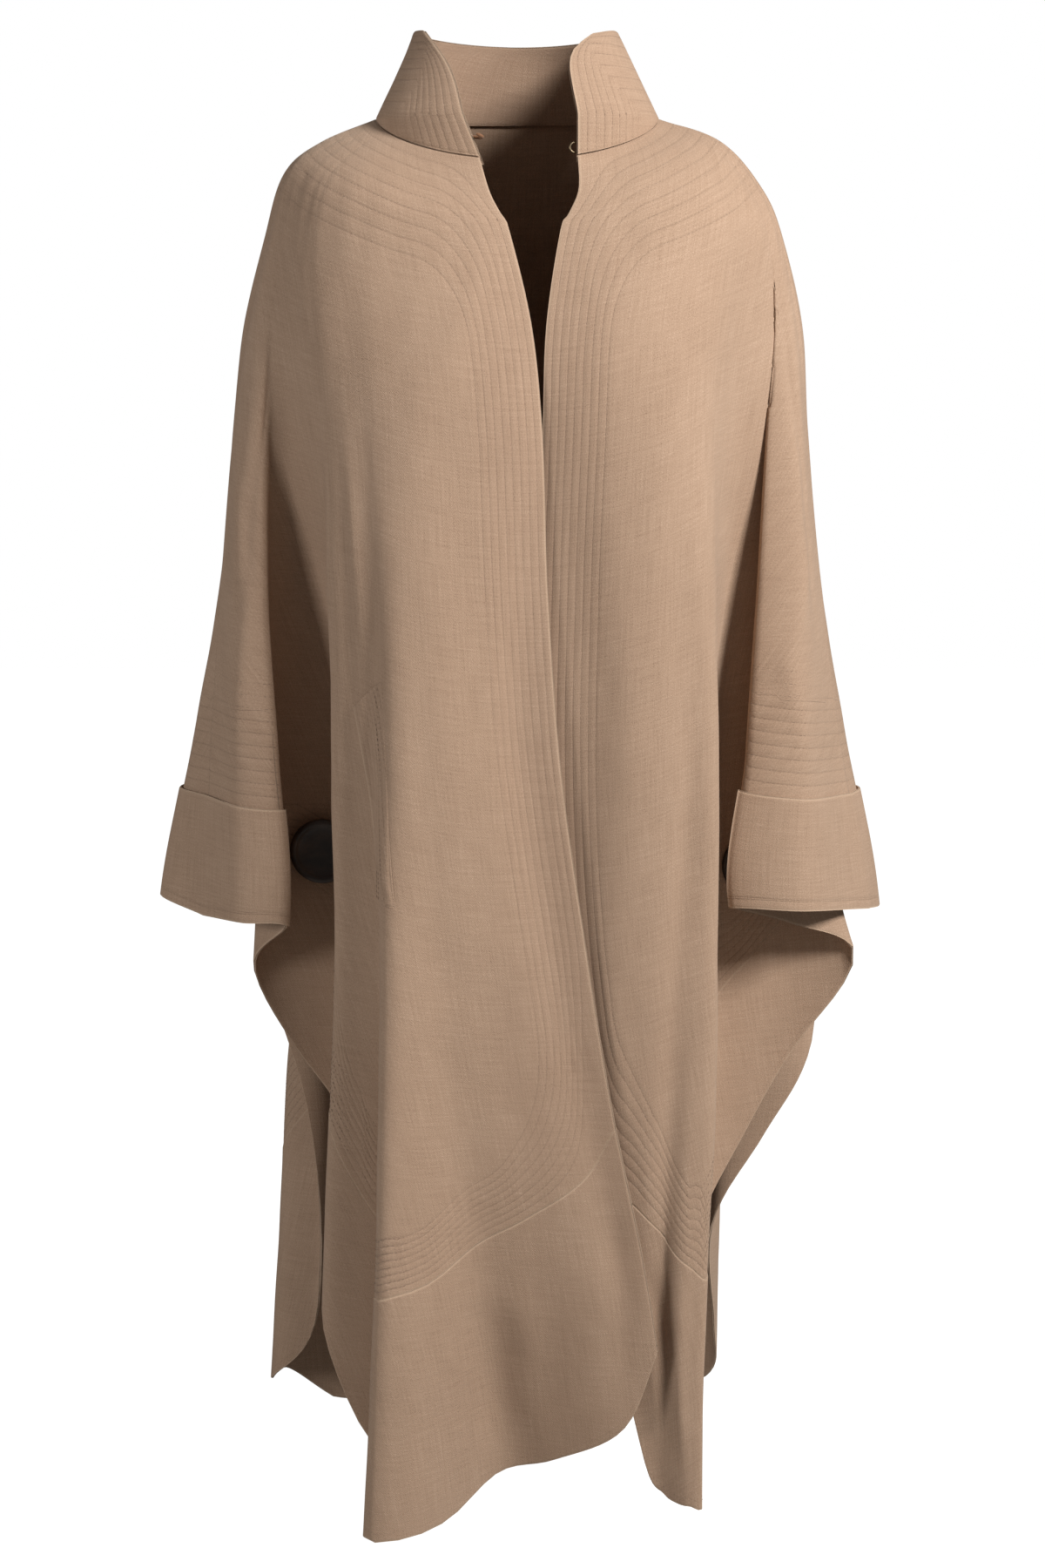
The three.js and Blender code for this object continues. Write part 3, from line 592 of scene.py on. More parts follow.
@dataclass
class Mesh:
    """Vertices and faces of a piece while it is put together, with a value for each vertex."""

    points: list[Array] = field(default_factory=list)
    faces: list[tuple[int, ...]] = field(default_factory=list)
    flats: list[Array] = field(default_factory=list)
    rows: list[Array] = field(default_factory=list)
    rims: list[Array] = field(default_factory=list)
    count: int = 0

    def add(self, points: Array, flat: Array, row: Array, rim: Array) -> Array:
        """Add vertices and return their numbers in the shape that the points have.

        Args:
            points: Places, with x, y and z on the last axis.
            flat: Flat cloth coordinates of each place.
            row: The number of topstitching rows between each place and the edge.
            rim: How near each place is to a cut or turned edge, from 0 to 1.

        Returns:
            The vertices' numbers.
        """
        shape = points.shape[:-1]
        size = int(np.prod(shape))
        numbers = np.arange(self.count, self.count + size).reshape(shape)
        self.points.append(points.reshape(-1, 3))
        self.flats.append(np.broadcast_to(flat, shape + (2,)).reshape(-1, 2))
        self.rows.append(np.broadcast_to(row, shape).reshape(-1))
        self.rims.append(np.broadcast_to(rim, shape).reshape(-1))
        self.count += size
        return numbers

    def quads(self, numbers: Array, turned: bool = False) -> None:
        """Add the faces of a grid of vertices.

        Args:
            numbers: The vertices' numbers, by column and row.
            turned: Whether the faces look the other way.
        """
        a, b = numbers[:-1, :-1], numbers[1:, :-1]
        c, d = numbers[1:, 1:], numbers[:-1, 1:]
        order = (a, d, c, b) if turned else (a, b, c, d)
        self.faces += [tuple(int(n) for n in face) for face in np.stack(order, -1).reshape(-1, 4)]

    def build(self, name: str, material: Material) -> Object:
        """Return the finished piece, at the origin, with its flat coordinates and attributes."""
        piece = finished(name, np.concatenate(self.points), self.faces, material)
        mesh = piece.data
        corner = np.empty(len(mesh.loops), dtype=np.int32)
        mesh.loops.foreach_get("vertex_index", corner)
        layer = mesh.uv_layers.new(name="cloth")
        flats = np.concatenate(self.flats)
        layer.data.foreach_set("uv", flats[corner].astype(np.float32).ravel())
        for label, values in (("stitch_rows", self.rows), ("rim", self.rims)):
            attribute = mesh.attributes.new(label, "FLOAT", "POINT")
            attribute.data.foreach_set("value", np.concatenate(values).astype(np.float32))
        return piece


def thin_shell(
    middle: Array,
    normal: Array,
    flat: Array,
    rows: Array,
    rims: Array,
    wall: float,
) -> Mesh:
    """Return a closed shell of cloth round a grid of its middle layer.

    Args:
        middle: Points of the middle layer, by column and row.
        normal: Outward unit normals at those points.
        flat: Flat cloth coordinates at those points.
        rows: Topstitching row numbers at those points.
        rims: How near those points are to an edge, from 0 to 1.
        wall: Thickness of the cloth.

    Returns:
        The shell, with its edges rounded.
    """
    near = np.ones(middle.shape[:2])
    near[[0, -1], :] = 0.5
    near[:, [0, -1]] = 0.5
    away = (near * wall / 2)[..., None] * normal
    body = Mesh()
    outer = body.add(middle + away, flat, rows, rims)
    inner = body.add(middle - away, flat, np.full(rows.shape, 99.0), rims)
    along, down = np.diff(middle, axis=0)[0, 0], np.diff(middle, axis=1)[0, 0]
    left_handed = np.dot(np.cross(along, down), normal[0, 0]) < 0
    body.quads(outer, left_handed)
    body.quads(inner, not left_handed)
    loop = border(np.arange(middle.shape[0] * middle.shape[1]).reshape(middle.shape[:2]))
    crest = body.add(
        middle.reshape(-1, 3)[loop],
        flat.reshape(-1, 2)[loop],
        rows.reshape(-1)[loop],
        np.ones(len(loop)),
    )
    ring = np.append(np.arange(len(loop)), 0)
    top = outer.reshape(-1)[loop][ring]
    low = inner.reshape(-1)[loop][ring]
    body.quads(np.stack([top, crest[ring], low], axis=-1), left_handed)
    return body


def border(numbers: Array) -> Array:
    """Return a grid's outer vertices in order, once round."""
    sides = (numbers[:-1, 0], numbers[-1, :-1], numbers[:0:-1, -1], numbers[0, :0:-1])
    return np.concatenate(sides)


def spread(length: float, pitch: float, edges: tuple[float, ...]) -> Array:
    """Return places from 0 to length about one pitch apart, with closer ones beside both ends."""
    inner = max(edges)
    count = max(2, int(round((length - 2 * inner) / pitch)))
    even = np.linspace(inner, length - inner, count + 1)
    start = [e for e in edges if e < inner]
    return np.array([*start, *even, *[length - e for e in reversed(start)]])


class StitchLine:
    """Collects the paths of machine stitching on one piece, then makes the thread."""

    def __init__(self, name: str) -> None:
        """Start with no paths."""
        self.name = name
        self.paths: list[tuple[Array, Array]] = []

    def add(self, points: Array, normals: Array) -> None:
        """Add one path with the cloth's normal at each of its points."""
        if len(points) > 1:
            self.paths.append((points, normals))

    def guide(self) -> Object:
        """Return a mesh of edges along all paths, which carries the cloth's normals."""
        points = np.concatenate([p for p, _ in self.paths])
        normals = np.concatenate([n for _, n in self.paths])
        edges = []
        start = 0
        for path, _ in self.paths:
            edges += [(start + k, start + k + 1) for k in range(len(path) - 1)]
            start += len(path)
        mesh = bpy.data.meshes.new(self.name)
        mesh.from_pydata(points.tolist(), edges, [])
        attribute = mesh.attributes.new("cloth_normal", "FLOAT_VECTOR", "POINT")
        attribute.data.foreach_set("vector", normals.astype(np.float32).ravel())
        return placed(self.name, mesh)


def add_node(tree: NodeTree, kind: str, inputs: dict | None = None, **values: object) -> Node:
    """Add a node to a tree.

    Args:
        tree: The tree.
        kind: The node's type name.
        inputs: What its own sockets hold, by name or number.
        values: Properties of the node.

    Returns:
        The node.
    """
    node = tree.nodes.new(kind)
    for key, value in values.items():
        setattr(node, key, value)
    for key, value in (inputs or {}).items():
        node.inputs[key].default_value = value
    return node


class StitchTree:
    """Geometry Nodes tree that sews stitches along a mesh of edges."""

    def __init__(self, material: Material) -> None:
        """Build the tree once for all pieces.

        Args:
            material: The thread's material.
        """
        tree = bpy.data.node_groups.new("machine stitches", "GeometryNodeTree")
        self.tree = tree
        socket = tree.interface.new_socket
        socket(name="Guide", in_out="INPUT", socket_type="NodeSocketGeometry")
        self.inputs = {}
        sizes = {"Pitch": 0.0042, "Length": 0.0031, "Thickness": 0.00042, "Sink": 0.00008}
        for name, value in sizes.items():
            made = socket(name=name, in_out="INPUT", socket_type="NodeSocketFloat")
            made.default_value = value
            self.inputs[name] = made.identifier
        made = socket(name="Seed", in_out="INPUT", socket_type="NodeSocketInt")
        made.default_value = 7
        self.inputs["Seed"] = made.identifier
        socket(name="Stitches", in_out="OUTPUT", socket_type="NodeSocketGeometry")
        self._lay_out(material)

    def _node(self, kind: str, x: float, y: float, inputs: dict | None = None, **values: object) -> Node:
        """Add a node at a place in the tree, with what its sockets hold and its properties."""
        return add_node(self.tree, kind, inputs, location=(x, y), **values)

    def _join(self, source: Node, output: str, target: Node, socket: str | int) -> None:
        """Join an output of one node to an input of another."""
        self.tree.links.new(source.outputs[output], target.inputs[socket])

    def _lay_out(self, material: Material) -> None:
        """Make and join the tree's nodes."""
        join = self._join
        given = self._node("NodeGroupInput", -900, 0)
        result = self._node("NodeGroupOutput", 1300, 0)
        normal = self._node(
            "GeometryNodeInputNamedAttribute", -900, -300, {"Name": "cloth_normal"}, data_type="FLOAT_VECTOR"
        )
        curve = self._node("GeometryNodeMeshToCurve", -650, 0)
        join(given, "Guide", curve, "Mesh")
        points = self._node("GeometryNodeCurveToPoints", -400, 0, mode="LENGTH")
        join(curve, "Curve", points, "Curve")
        join(given, "Pitch", points, "Length")
        grain = {"Segments": 4, "Rings": 3, "Radius": 0.5}
        shape = self._node("GeometryNodeMeshUVSphere", -400, 300, grain)
        size = self._node("ShaderNodeCombineXYZ", -400, 500)
        join(given, "Thickness", size, "X")
        join(given, "Thickness", size, "Y")
        join(given, "Length", size, "Z")
        first = self._node("FunctionNodeAlignRotationToVector", -150, -200, axis="Z", pivot_axis="AUTO")
        join(points, "Tangent", first, "Vector")
        second = self._node("FunctionNodeAlignRotationToVector", 80, -200, axis="Y", pivot_axis="Z")
        join(first, "Rotation", second, "Rotation")
        join(normal, "Attribute", second, "Vector")
        chance = self._node("FunctionNodeRandomValue", -150, 500, data_type="FLOAT")
        chance.inputs["Min"].default_value = 0.86
        chance.inputs["Max"].default_value = 1.12
        join(given, "Seed", chance, "Seed")
        scaled = self._node("ShaderNodeVectorMath", 80, 450, operation="SCALE")
        join(size, "Vector", scaled, 0)
        join(chance, "Value", scaled, "Scale")
        place = self._node("GeometryNodeInstanceOnPoints", 330, 0)
        join(points, "Points", place, "Points")
        join(shape, "Mesh", place, "Instance")
        join(second, "Rotation", place, "Rotation")
        join(scaled, "Vector", place, "Scale")
        down = self._node("ShaderNodeMath", 80, -450, {1: -1.0}, operation="MULTIPLY")
        join(given, "Sink", down, 0)
        offset = self._node("ShaderNodeVectorMath", 330, -400, operation="SCALE")
        join(normal, "Attribute", offset, 0)
        join(down, "Value", offset, "Scale")
        moved = self._node("GeometryNodeTranslateInstances", 580, 0, {"Local Space": False})
        join(place, "Instances", moved, "Instances")
        join(offset, "Vector", moved, "Translation")
        real = self._node("GeometryNodeRealizeInstances", 830, 0)
        join(moved, "Instances", real, "Geometry")
        finish = self._node("GeometryNodeSetMaterial", 1070, 0, {"Material": material})
        join(real, "Geometry", finish, "Geometry")
        join(finish, "Geometry", result, "Stitches")

    def sew(self, line: StitchLine, **sizes: float) -> Object:
        """Turn a piece's stitch paths into a plain mesh of thread.

        Args:
            line: The paths.
            sizes: Values of the tree's named inputs.

        Returns:
            The stitches as one object at the origin.
        """
        guide = line.guide()
        modifier = guide.modifiers.new("stitches", "NODES")
        modifier.node_group = self.tree
        for name, value in sizes.items():
            modifier[self.inputs[name]] = value
        graph = bpy.context.evaluated_depsgraph_get()
        mesh = bpy.data.meshes.new_from_object(guide.evaluated_get(graph))
        guide.modifiers.remove(modifier)
        old = guide.data
        guide.data = mesh
        bpy.data.meshes.remove(old)
        mesh.name = line.name
        mesh.shade_smooth()
        return guide


class Wool(Enum):
    """Which side of the cloth a finish is for."""

    OUTSIDE = "outside"
    INSIDE = "inside"


@dataclass(frozen=True)
class WoolFinish:
    """Colours, in linear light, and sizes of a melange wool twill with a soft nap."""

    side: Wool
    light: Triple
    middle: Triple
    dark: Triple
    twill_pitch: float = 0.0016
    relief: float = 0.00026
    rows: float = 8.5

    def material(self, groups: "WoolGroups") -> Material:
        """Return the cloth's material.

        Args:
            groups: The shader groups that the finish uses.

        Returns:
            The material.
        """
        sketch = Shading(f"wool {self.side.value}")
        shader = sketch.shader({
            "Roughness": 0.93,
            "Specular IOR Level": 0.18,
            "Sheen Weight": 0.22,
            "Sheen Roughness": 0.55,
            "Sheen Tint": (0.95, 0.82, 0.68, 1),
        })
        place = sketch.node("ShaderNodeUVMap", uv_map="cloth")
        cloth = sketch.node("ShaderNodeGroup", node_tree=groups.twill)
        sketch.join(place, "UV", cloth, "Place")
        cloth.inputs["Twill Pitch"].default_value = self.twill_pitch
        for name, colour in (("Light", self.light), ("Middle", self.middle), ("Dark", self.dark)):
            cloth.inputs[name].default_value = (*colour, 1)
        # The stitch_rows attribute gives the stitched channels their bumps and their painted shade.
        rows = sketch.node("ShaderNodeAttribute", attribute_name="stitch_rows")
        channels = sketch.node("ShaderNodeGroup", node_tree=groups.channels)
        sketch.join(rows, "Fac", channels, "Row")
        channels.inputs["Rows"].default_value = self.rows
        # The rim attribute sets a painted highlight along the cloth's edges.
        rim = sketch.node("ShaderNodeAttribute", attribute_name="rim")
        edge = sketch.node("ShaderNodeGroup", node_tree=groups.edge)
        sketch.join(rim, "Fac", edge, "Rim")
        sketch.join(cloth, "Color", edge, "Color")
        sketch.join(channels, "Channel", edge, "Channel")
        sketch.join(edge, "Color", shader, "Base Color")
        height = sketch.node("ShaderNodeMath", operation="SUBTRACT")
        sketch.join(cloth, "Height", height, 0)
        sketch.join(channels, "Depth", height, 1)
        sketch.roughen(shader, height, "Value", self.relief)
        return sketch.material


class Shading:
    """A material with its nodes, and short ways to add to them."""

    def __init__(self, name: str) -> None:
        """Start an empty material with an output."""
        self.material = bpy.data.materials.new(name)
        self.material.use_nodes = True
        self.tree = self.material.node_tree
        self.tree.nodes.clear()
        self.output = self.tree.nodes.new("ShaderNodeOutputMaterial")
        self.output.location = (600, 0)
        self.place = 0

    def node(self, kind: str, inputs: dict | None = None, **values: object) -> Node:
        """Add a node with what its sockets hold and its properties."""
        self.place -= 1
        location = (self.place % 5 * -220, self.place // 5 * 260)
        return add_node(self.tree, kind, inputs, location=location, **values)

    def join(self, source: Node, output: str | int, target: Node, socket: str | int) -> None:
        """Join an output of one node to an input of another."""
        self.tree.links.new(source.outputs[output], target.inputs[socket])

    def shader(self, inputs: dict[str, object]) -> Node:
        """Add the surface shader, joined to the output, with what its sockets hold."""
        made = self.node("ShaderNodeBsdfPrincipled", inputs)
        self.join(made, "BSDF", self.output, "Surface")
        return made

    def speckle(self, inputs: dict[str, float], place: Node | None = None, output: str = "Object") -> Node:
        """Add noise that follows the piece's own coordinates.

        Args:
            inputs: What the noise's sockets hold.
            place: The node that gives the coordinates, if it is there already.
            output: Its output.

        Returns:
            The noise node.
        """
        place = place or self.node("ShaderNodeTexCoord")
        noise_node = self.node("ShaderNodeTexNoise", inputs)
        self.join(place, output, noise_node, "Vector")
        return noise_node

    def tint(self, shader: Node, share: Node, first: Triple, second: Triple) -> None:
        """Colour a shader between two colours by a node's factor."""
        tone = self.node("ShaderNodeMix", {6: (*first, 1), 7: (*second, 1)}, data_type="RGBA")
        self.join(share, "Fac", tone, 0)
        self.join(tone, 2, shader, "Base Color")

    def roughen(self, shader: Node, height: Node, output: str, distance: float) -> None:
        """Give a shader the bumps of a node's output.

        Args:
            shader: The shader.
            height: The node that gives the height.
            output: Its output.
            distance: How high a height of one is, in metres.
        """
        bump = self.node("ShaderNodeBump", {"Distance": distance})
        self.join(height, output, bump, "Height")
        self.join(bump, "Normal", shader, "Normal")


class GroupSketch:
    """A shader group with named inputs and outputs, and short ways to add maths to it."""

    def __init__(self, name: str) -> None:
        """Start an empty group."""
        self.tree = bpy.data.node_groups.new(name, "ShaderNodeTree")
        self.given = self.tree.nodes.new("NodeGroupInput")
        self.result = self.tree.nodes.new("NodeGroupOutput")
        self.given.location = (-1200, 0)
        self.result.location = (900, 0)
        self.place = 0

    def socket(self, name: str, kind: str, value: object = None, output: bool = False) -> None:
        """Add an input or an output.

        Args:
            name: The socket's name.
            kind: Float, Vector or Color.
            value: What an input holds when nothing is joined to it.
            output: Whether it is an output.
        """
        made = self.tree.interface.new_socket(
            name=name,
            in_out="OUTPUT" if output else "INPUT",
            socket_type=f"NodeSocket{kind}",
        )
        if value is not None:
            made.default_value = value

    def node(self, kind: str, inputs: dict | None = None, **values: object) -> Node:
        """Add a node with what its sockets hold and its properties."""
        self.place += 1
        location = (self.place % 8 * 200 - 900, self.place // 8 * -240)
        return add_node(self.tree, kind, inputs, location=location, **values)

    def link(self, source: NodeSocket, target: NodeSocket) -> None:
        """Join two sockets."""
        self.tree.links.new(source, target)

    def maths(self, operation: str, *values: object) -> NodeSocket:
        """Add a calculation.

        Args:
            operation: The calculation's name.
            values: Numbers or sockets to calculate with.

        Returns:
            The socket with the result.
        """
        made = self.node("ShaderNodeMath", operation=operation)
        for k, value in enumerate(values):
            if isinstance(value, NodeSocket):
                self.link(value, made.inputs[k])
            else:
                made.inputs[k].default_value = value
        return made.outputs["Value"]

    def step(self, value: NodeSocket, low: float, high: float) -> NodeSocket:
        """Return a smooth step of a value from 0 at low to 1 at high."""
        ends = {"From Min": low, "From Max": high}
        made = self.node("ShaderNodeMapRange", ends, interpolation_type="SMOOTHSTEP")
        self.link(value, made.inputs["Value"])
        return made.outputs["Result"]

    def grain(self, place: NodeSocket, scale: tuple[float, float], detail: float) -> NodeSocket:
        """Return noise on the flat cloth.

        Args:
            place: Flat cloth coordinates in metres.
            scale: Waves to a metre, across and down.
            detail: Octaves of finer noise.

        Returns:
            The socket with the noise.
        """
        stretch = self.node("ShaderNodeVectorMath", {1: (*scale, 1.0)}, operation="MULTIPLY")
        self.link(place, stretch.inputs[0])
        waves = {"Scale": 1.0, "Detail": detail, "Roughness": 0.6}
        made = self.node("ShaderNodeTexNoise", waves, noise_dimensions="2D")
        self.link(stretch.outputs["Vector"], made.inputs["Vector"])
        return made.outputs["Fac"]

    def blend(self, share: object, first: object, second: object, mode: str = "MIX") -> NodeSocket:
        """Return two colours mixed.

        Args:
            share: How much of the second.
            first: First colour or socket.
            second: Second colour or socket.
            mode: How they are mixed.

        Returns:
            The socket with the colour.
        """
        made = self.node("ShaderNodeMix", data_type="RGBA", blend_type=mode)
        for key, value in ((0, share), (6, first), (7, second)):
            if isinstance(value, NodeSocket):
                self.link(value, made.inputs[key])
            else:
                made.inputs[key].default_value = value
        return made.outputs[2]


class WoolGroups:
    """The shader groups that all the cloth's finishes share."""

    def __init__(self) -> None:
        """Build the groups once."""
        self.twill = self._twill()
        self.channels = self._channels()
        self.edge = self._edge()

    @staticmethod
    def _twill() -> NodeTree:
        """Return the group for melange twill: fibres in three tones on slanting ribs."""
        g = GroupSketch("melange twill")
        g.socket("Place", "Vector")
        g.socket("Twill Pitch", "Float", 0.002)
        for name in ("Light", "Middle", "Dark"):
            g.socket(name, "Color", (0.5, 0.4, 0.3, 1))
        g.socket("Color", "Color", output=True)
        g.socket("Height", "Float", output=True)
        place = g.given.outputs["Place"]
        split = g.node("ShaderNodeSeparateXYZ")
        g.link(place, split.inputs["Vector"])
        wander = g.grain(place, (240, 90), 2)
        slant = g.maths("ADD", split.outputs["X"], g.maths("MULTIPLY", split.outputs["Y"], 0.62))
        turns = g.maths("DIVIDE", slant, g.given.outputs["Twill Pitch"])
        turns = g.maths("MULTIPLY_ADD", wander, 2.2, turns)
        rib = g.maths("SINE", g.maths("MULTIPLY", turns, 2 * math.pi))
        fibre = g.grain(place, (1250, 900), 3)
        warp = g.grain(place, (620, 22), 3)
        weft = g.grain(place, (26, 560), 3)
        cloud = g.grain(place, (9, 6), 3)
        tone = g.maths("MULTIPLY_ADD", fibre, 1.0, g.maths("MULTIPLY", warp, 0.42))
        tone = g.maths("MULTIPLY_ADD", weft, 0.36, tone)
        tone = g.maths("MULTIPLY_ADD", rib, 0.03, tone)
        tone = g.maths("MULTIPLY_ADD", cloud, 0.28, tone)
        darker = g.blend(g.step(tone, 0.56, 1.0), g.given.outputs["Dark"], g.given.outputs["Middle"])
        colour = g.blend(g.step(tone, 0.98, 1.5), darker, g.given.outputs["Light"])
        g.link(colour, g.result.inputs["Color"])
        height = g.maths("MULTIPLY_ADD", rib, 0.16, g.maths("MULTIPLY", fibre, 1.0))
        height = g.maths("MULTIPLY_ADD", warp, 0.3, height)
        height = g.maths("MULTIPLY_ADD", weft, 0.26, height)
        g.link(height, g.result.inputs["Height"])
        return g.tree

    @staticmethod
    def _channels() -> NodeTree:
        """Return the group for the shallow channels that rows of topstitching pull into cloth."""
        g = GroupSketch("topstitch channels")
        g.socket("Row", "Float")
        g.socket("Rows", "Float", 8.5)
        g.socket("Channel", "Float", output=True)
        g.socket("Depth", "Float", output=True)
        row = g.given.outputs["Row"]
        apart = g.maths("ABSOLUTE", g.maths("SUBTRACT", g.maths("FRACT", g.maths("ADD", row, 0.5)), 0.5))
        narrow = g.maths("SUBTRACT", 1.0, g.step(apart, 0.02, 0.13))
        broad = g.maths("SUBTRACT", 1.0, g.step(apart, 0.0, 0.46))
        below = g.maths("LESS_THAN", row, g.given.outputs["Rows"])
        inside = g.maths("MULTIPLY", g.maths("GREATER_THAN", row, 0.5), below)
        # Channel marks where the cloth gets painted shade; Depth only bumps it.
        g.link(g.maths("MULTIPLY", narrow, inside), g.result.inputs["Channel"])
        pulled = g.maths("MULTIPLY_ADD", broad, 0.7, g.maths("MULTIPLY", narrow, 0.4))
        g.link(g.maths("MULTIPLY", pulled, inside), g.result.inputs["Depth"])
        return g.tree

    @staticmethod
    def _edge() -> NodeTree:
        """Return the group that paints a highlight along the cloth's edges and paints shade into the
        stitched channels.
        """
        g = GroupSketch("edge and channel tone")
        g.socket("Color", "Color")
        g.socket("Rim", "Float")
        g.socket("Channel", "Float")
        g.socket("Color", "Color", output=True)
        # Painted highlight: cloth near a cut or turned edge is blended a little towards light tan.
        rim = g.maths("MULTIPLY", g.step(g.given.outputs["Rim"], 0.25, 1.0), 0.26)
        lighter = g.blend(rim, g.given.outputs["Color"], (0.74, 0.56, 0.4, 1))
        # Painted shade: the stitched channels are blended a little towards dark brown.
        dark = g.maths("MULTIPLY", g.given.outputs["Channel"], 0.1)
        colour = g.blend(dark, lighter, (0.1, 0.06, 0.035, 1))
        g.link(colour, g.result.inputs["Color"])
        return g.tree


@dataclass(frozen=True)
class ThreadFinish:
    """Twisted sewing thread, lighter or darker than the cloth."""

    name: str
    colour: Triple
    shade: Triple

    def material(self) -> Material:
        """Return the thread's material."""
        sketch = Shading(self.name)
        shader = sketch.shader({"Roughness": 0.62, "Specular IOR Level": 0.35, "Sheen Weight": 0.25})
        twist = sketch.speckle({"Scale": 900.0, "Detail": 2.0})
        sketch.tint(shader, twist, self.shade, self.colour)
        sketch.roughen(shader, twist, "Fac", 0.0002)
        return sketch.material


@dataclass(frozen=True)
class HornFinish:
    """Dark brown horn, softly polished, with faint streaks and turning marks."""

    dark: Triple = (0.018, 0.012, 0.009)
    streak: Triple = (0.07, 0.042, 0.026)

    def material(self) -> Material:
        """Return the buttons' material."""
        sketch = Shading("dark horn")
        shader = sketch.shader({"Specular IOR Level": 0.5, "Coat Weight": 0.25, "Coat Roughness": 0.3})
        place = sketch.node("ShaderNodeTexCoord")
        stretch = sketch.node("ShaderNodeMapping", {"Scale": (26, 90, 60), "Rotation": (0, 0.5, 0)})
        sketch.join(place, "Object", stretch, "Vector")
        streaks = sketch.speckle({"Scale": 1.0, "Detail": 6.0}, stretch, "Vector")
        tone = sketch.node("ShaderNodeValToRGB")
        for end, position, colour in zip(tone.color_ramp.elements, (0.42, 0.72), (self.dark, self.streak)):
            end.position = position
            end.color = (*colour, 1)
        sketch.join(streaks, "Fac", tone, "Fac")
        sketch.join(tone, "Color", shader, "Base Color")
        fine = sketch.speckle({"Scale": 700.0}, place)
        rough = sketch.node("ShaderNodeMapRange", {"To Min": 0.32, "To Max": 0.52})
        sketch.join(fine, "Fac", rough, "Value")
        sketch.join(rough, "Result", shader, "Roughness")
        sketch.roughen(shader, fine, "Fac", 0.00012)
        return sketch.material


@dataclass(frozen=True)
class WireFinish:
    """Dull bronze wire."""

    bright: Triple = (0.42, 0.33, 0.21)
    dull: Triple = (0.14, 0.1, 0.065)

    def material(self) -> Material:
        """Return the eye's material."""
        sketch = Shading("bronze wire")
        shader = sketch.shader({"Roughness": 0.36, "Specular IOR Level": 0.5, "Metallic": 1.0})
        wear = sketch.speckle({"Scale": 420.0, "Detail": 4.0})
        sketch.tint(shader, wear, self.dull, self.bright)
        sketch.roughen(shader, wear, "Fac", 0.0001)
        return sketch.material


@dataclass(frozen=True)
class StageFinish:
    """A plain floor that looks white, but lights nothing."""

    colour: Triple = (0.3, 0.295, 0.285)
    glow: float = 1.0

    def material(self) -> Material:
        """Return the stage's material."""
        sketch = Shading("pale stage")
        shader = sketch.shader({
            "Roughness": 0.9,
            "Specular IOR Level": 0.2,
            "Base Color": (*self.colour, 1),
            "Emission Color": (1, 1, 1, 1),
        })
        seen = sketch.node("ShaderNodeLightPath")
        glow = sketch.node("ShaderNodeMath", {1: self.glow}, operation="MULTIPLY")
        sketch.join(seen, "Is Camera Ray", glow, 0)
        sketch.join(glow, "Value", shader, "Emission Strength")
        return sketch.material


def surface_normals(points: Array, towards: Array) -> Array:
    """Return unit normals of a grid of points.

    Args:
        points: The grid, by column and row.
        towards: Rough outward normals that say which side is meant.

    Returns:
        The normals.
    """
    along = np.empty_like(points)
    along[1:-1] = points[2:] - points[:-2]
    along[0], along[-1] = points[1] - points[0], points[-1] - points[-2]
    down = np.empty_like(points)
    down[:, 1:-1] = points[:, 2:] - points[:, :-2]
    down[:, 0], down[:, -1] = points[:, 1] - points[:, 0], points[:, -1] - points[:, -2]
    normal = unit(np.cross(along, down))
    side = np.sign(np.sum(normal * towards, axis=-1, keepdims=True))
    return normal * np.where(side == 0, 1, side)


@dataclass
class Cloth:
    """A grid of places on one or two sheets, with what its shell needs."""

    points: Array
    normals: Array
    flat: Array
    rows: Array
    rims: Array


@dataclass(frozen=True)
class RowPlan:
    """Pitches and counts of the topstitching, in metres."""

    edge: float = 0.0068
    neck: float = 0.0136
    seam: float = 0.0062
    sleeve: float = 0.0112
    count: int = 8
    sleeve_count: int = 10


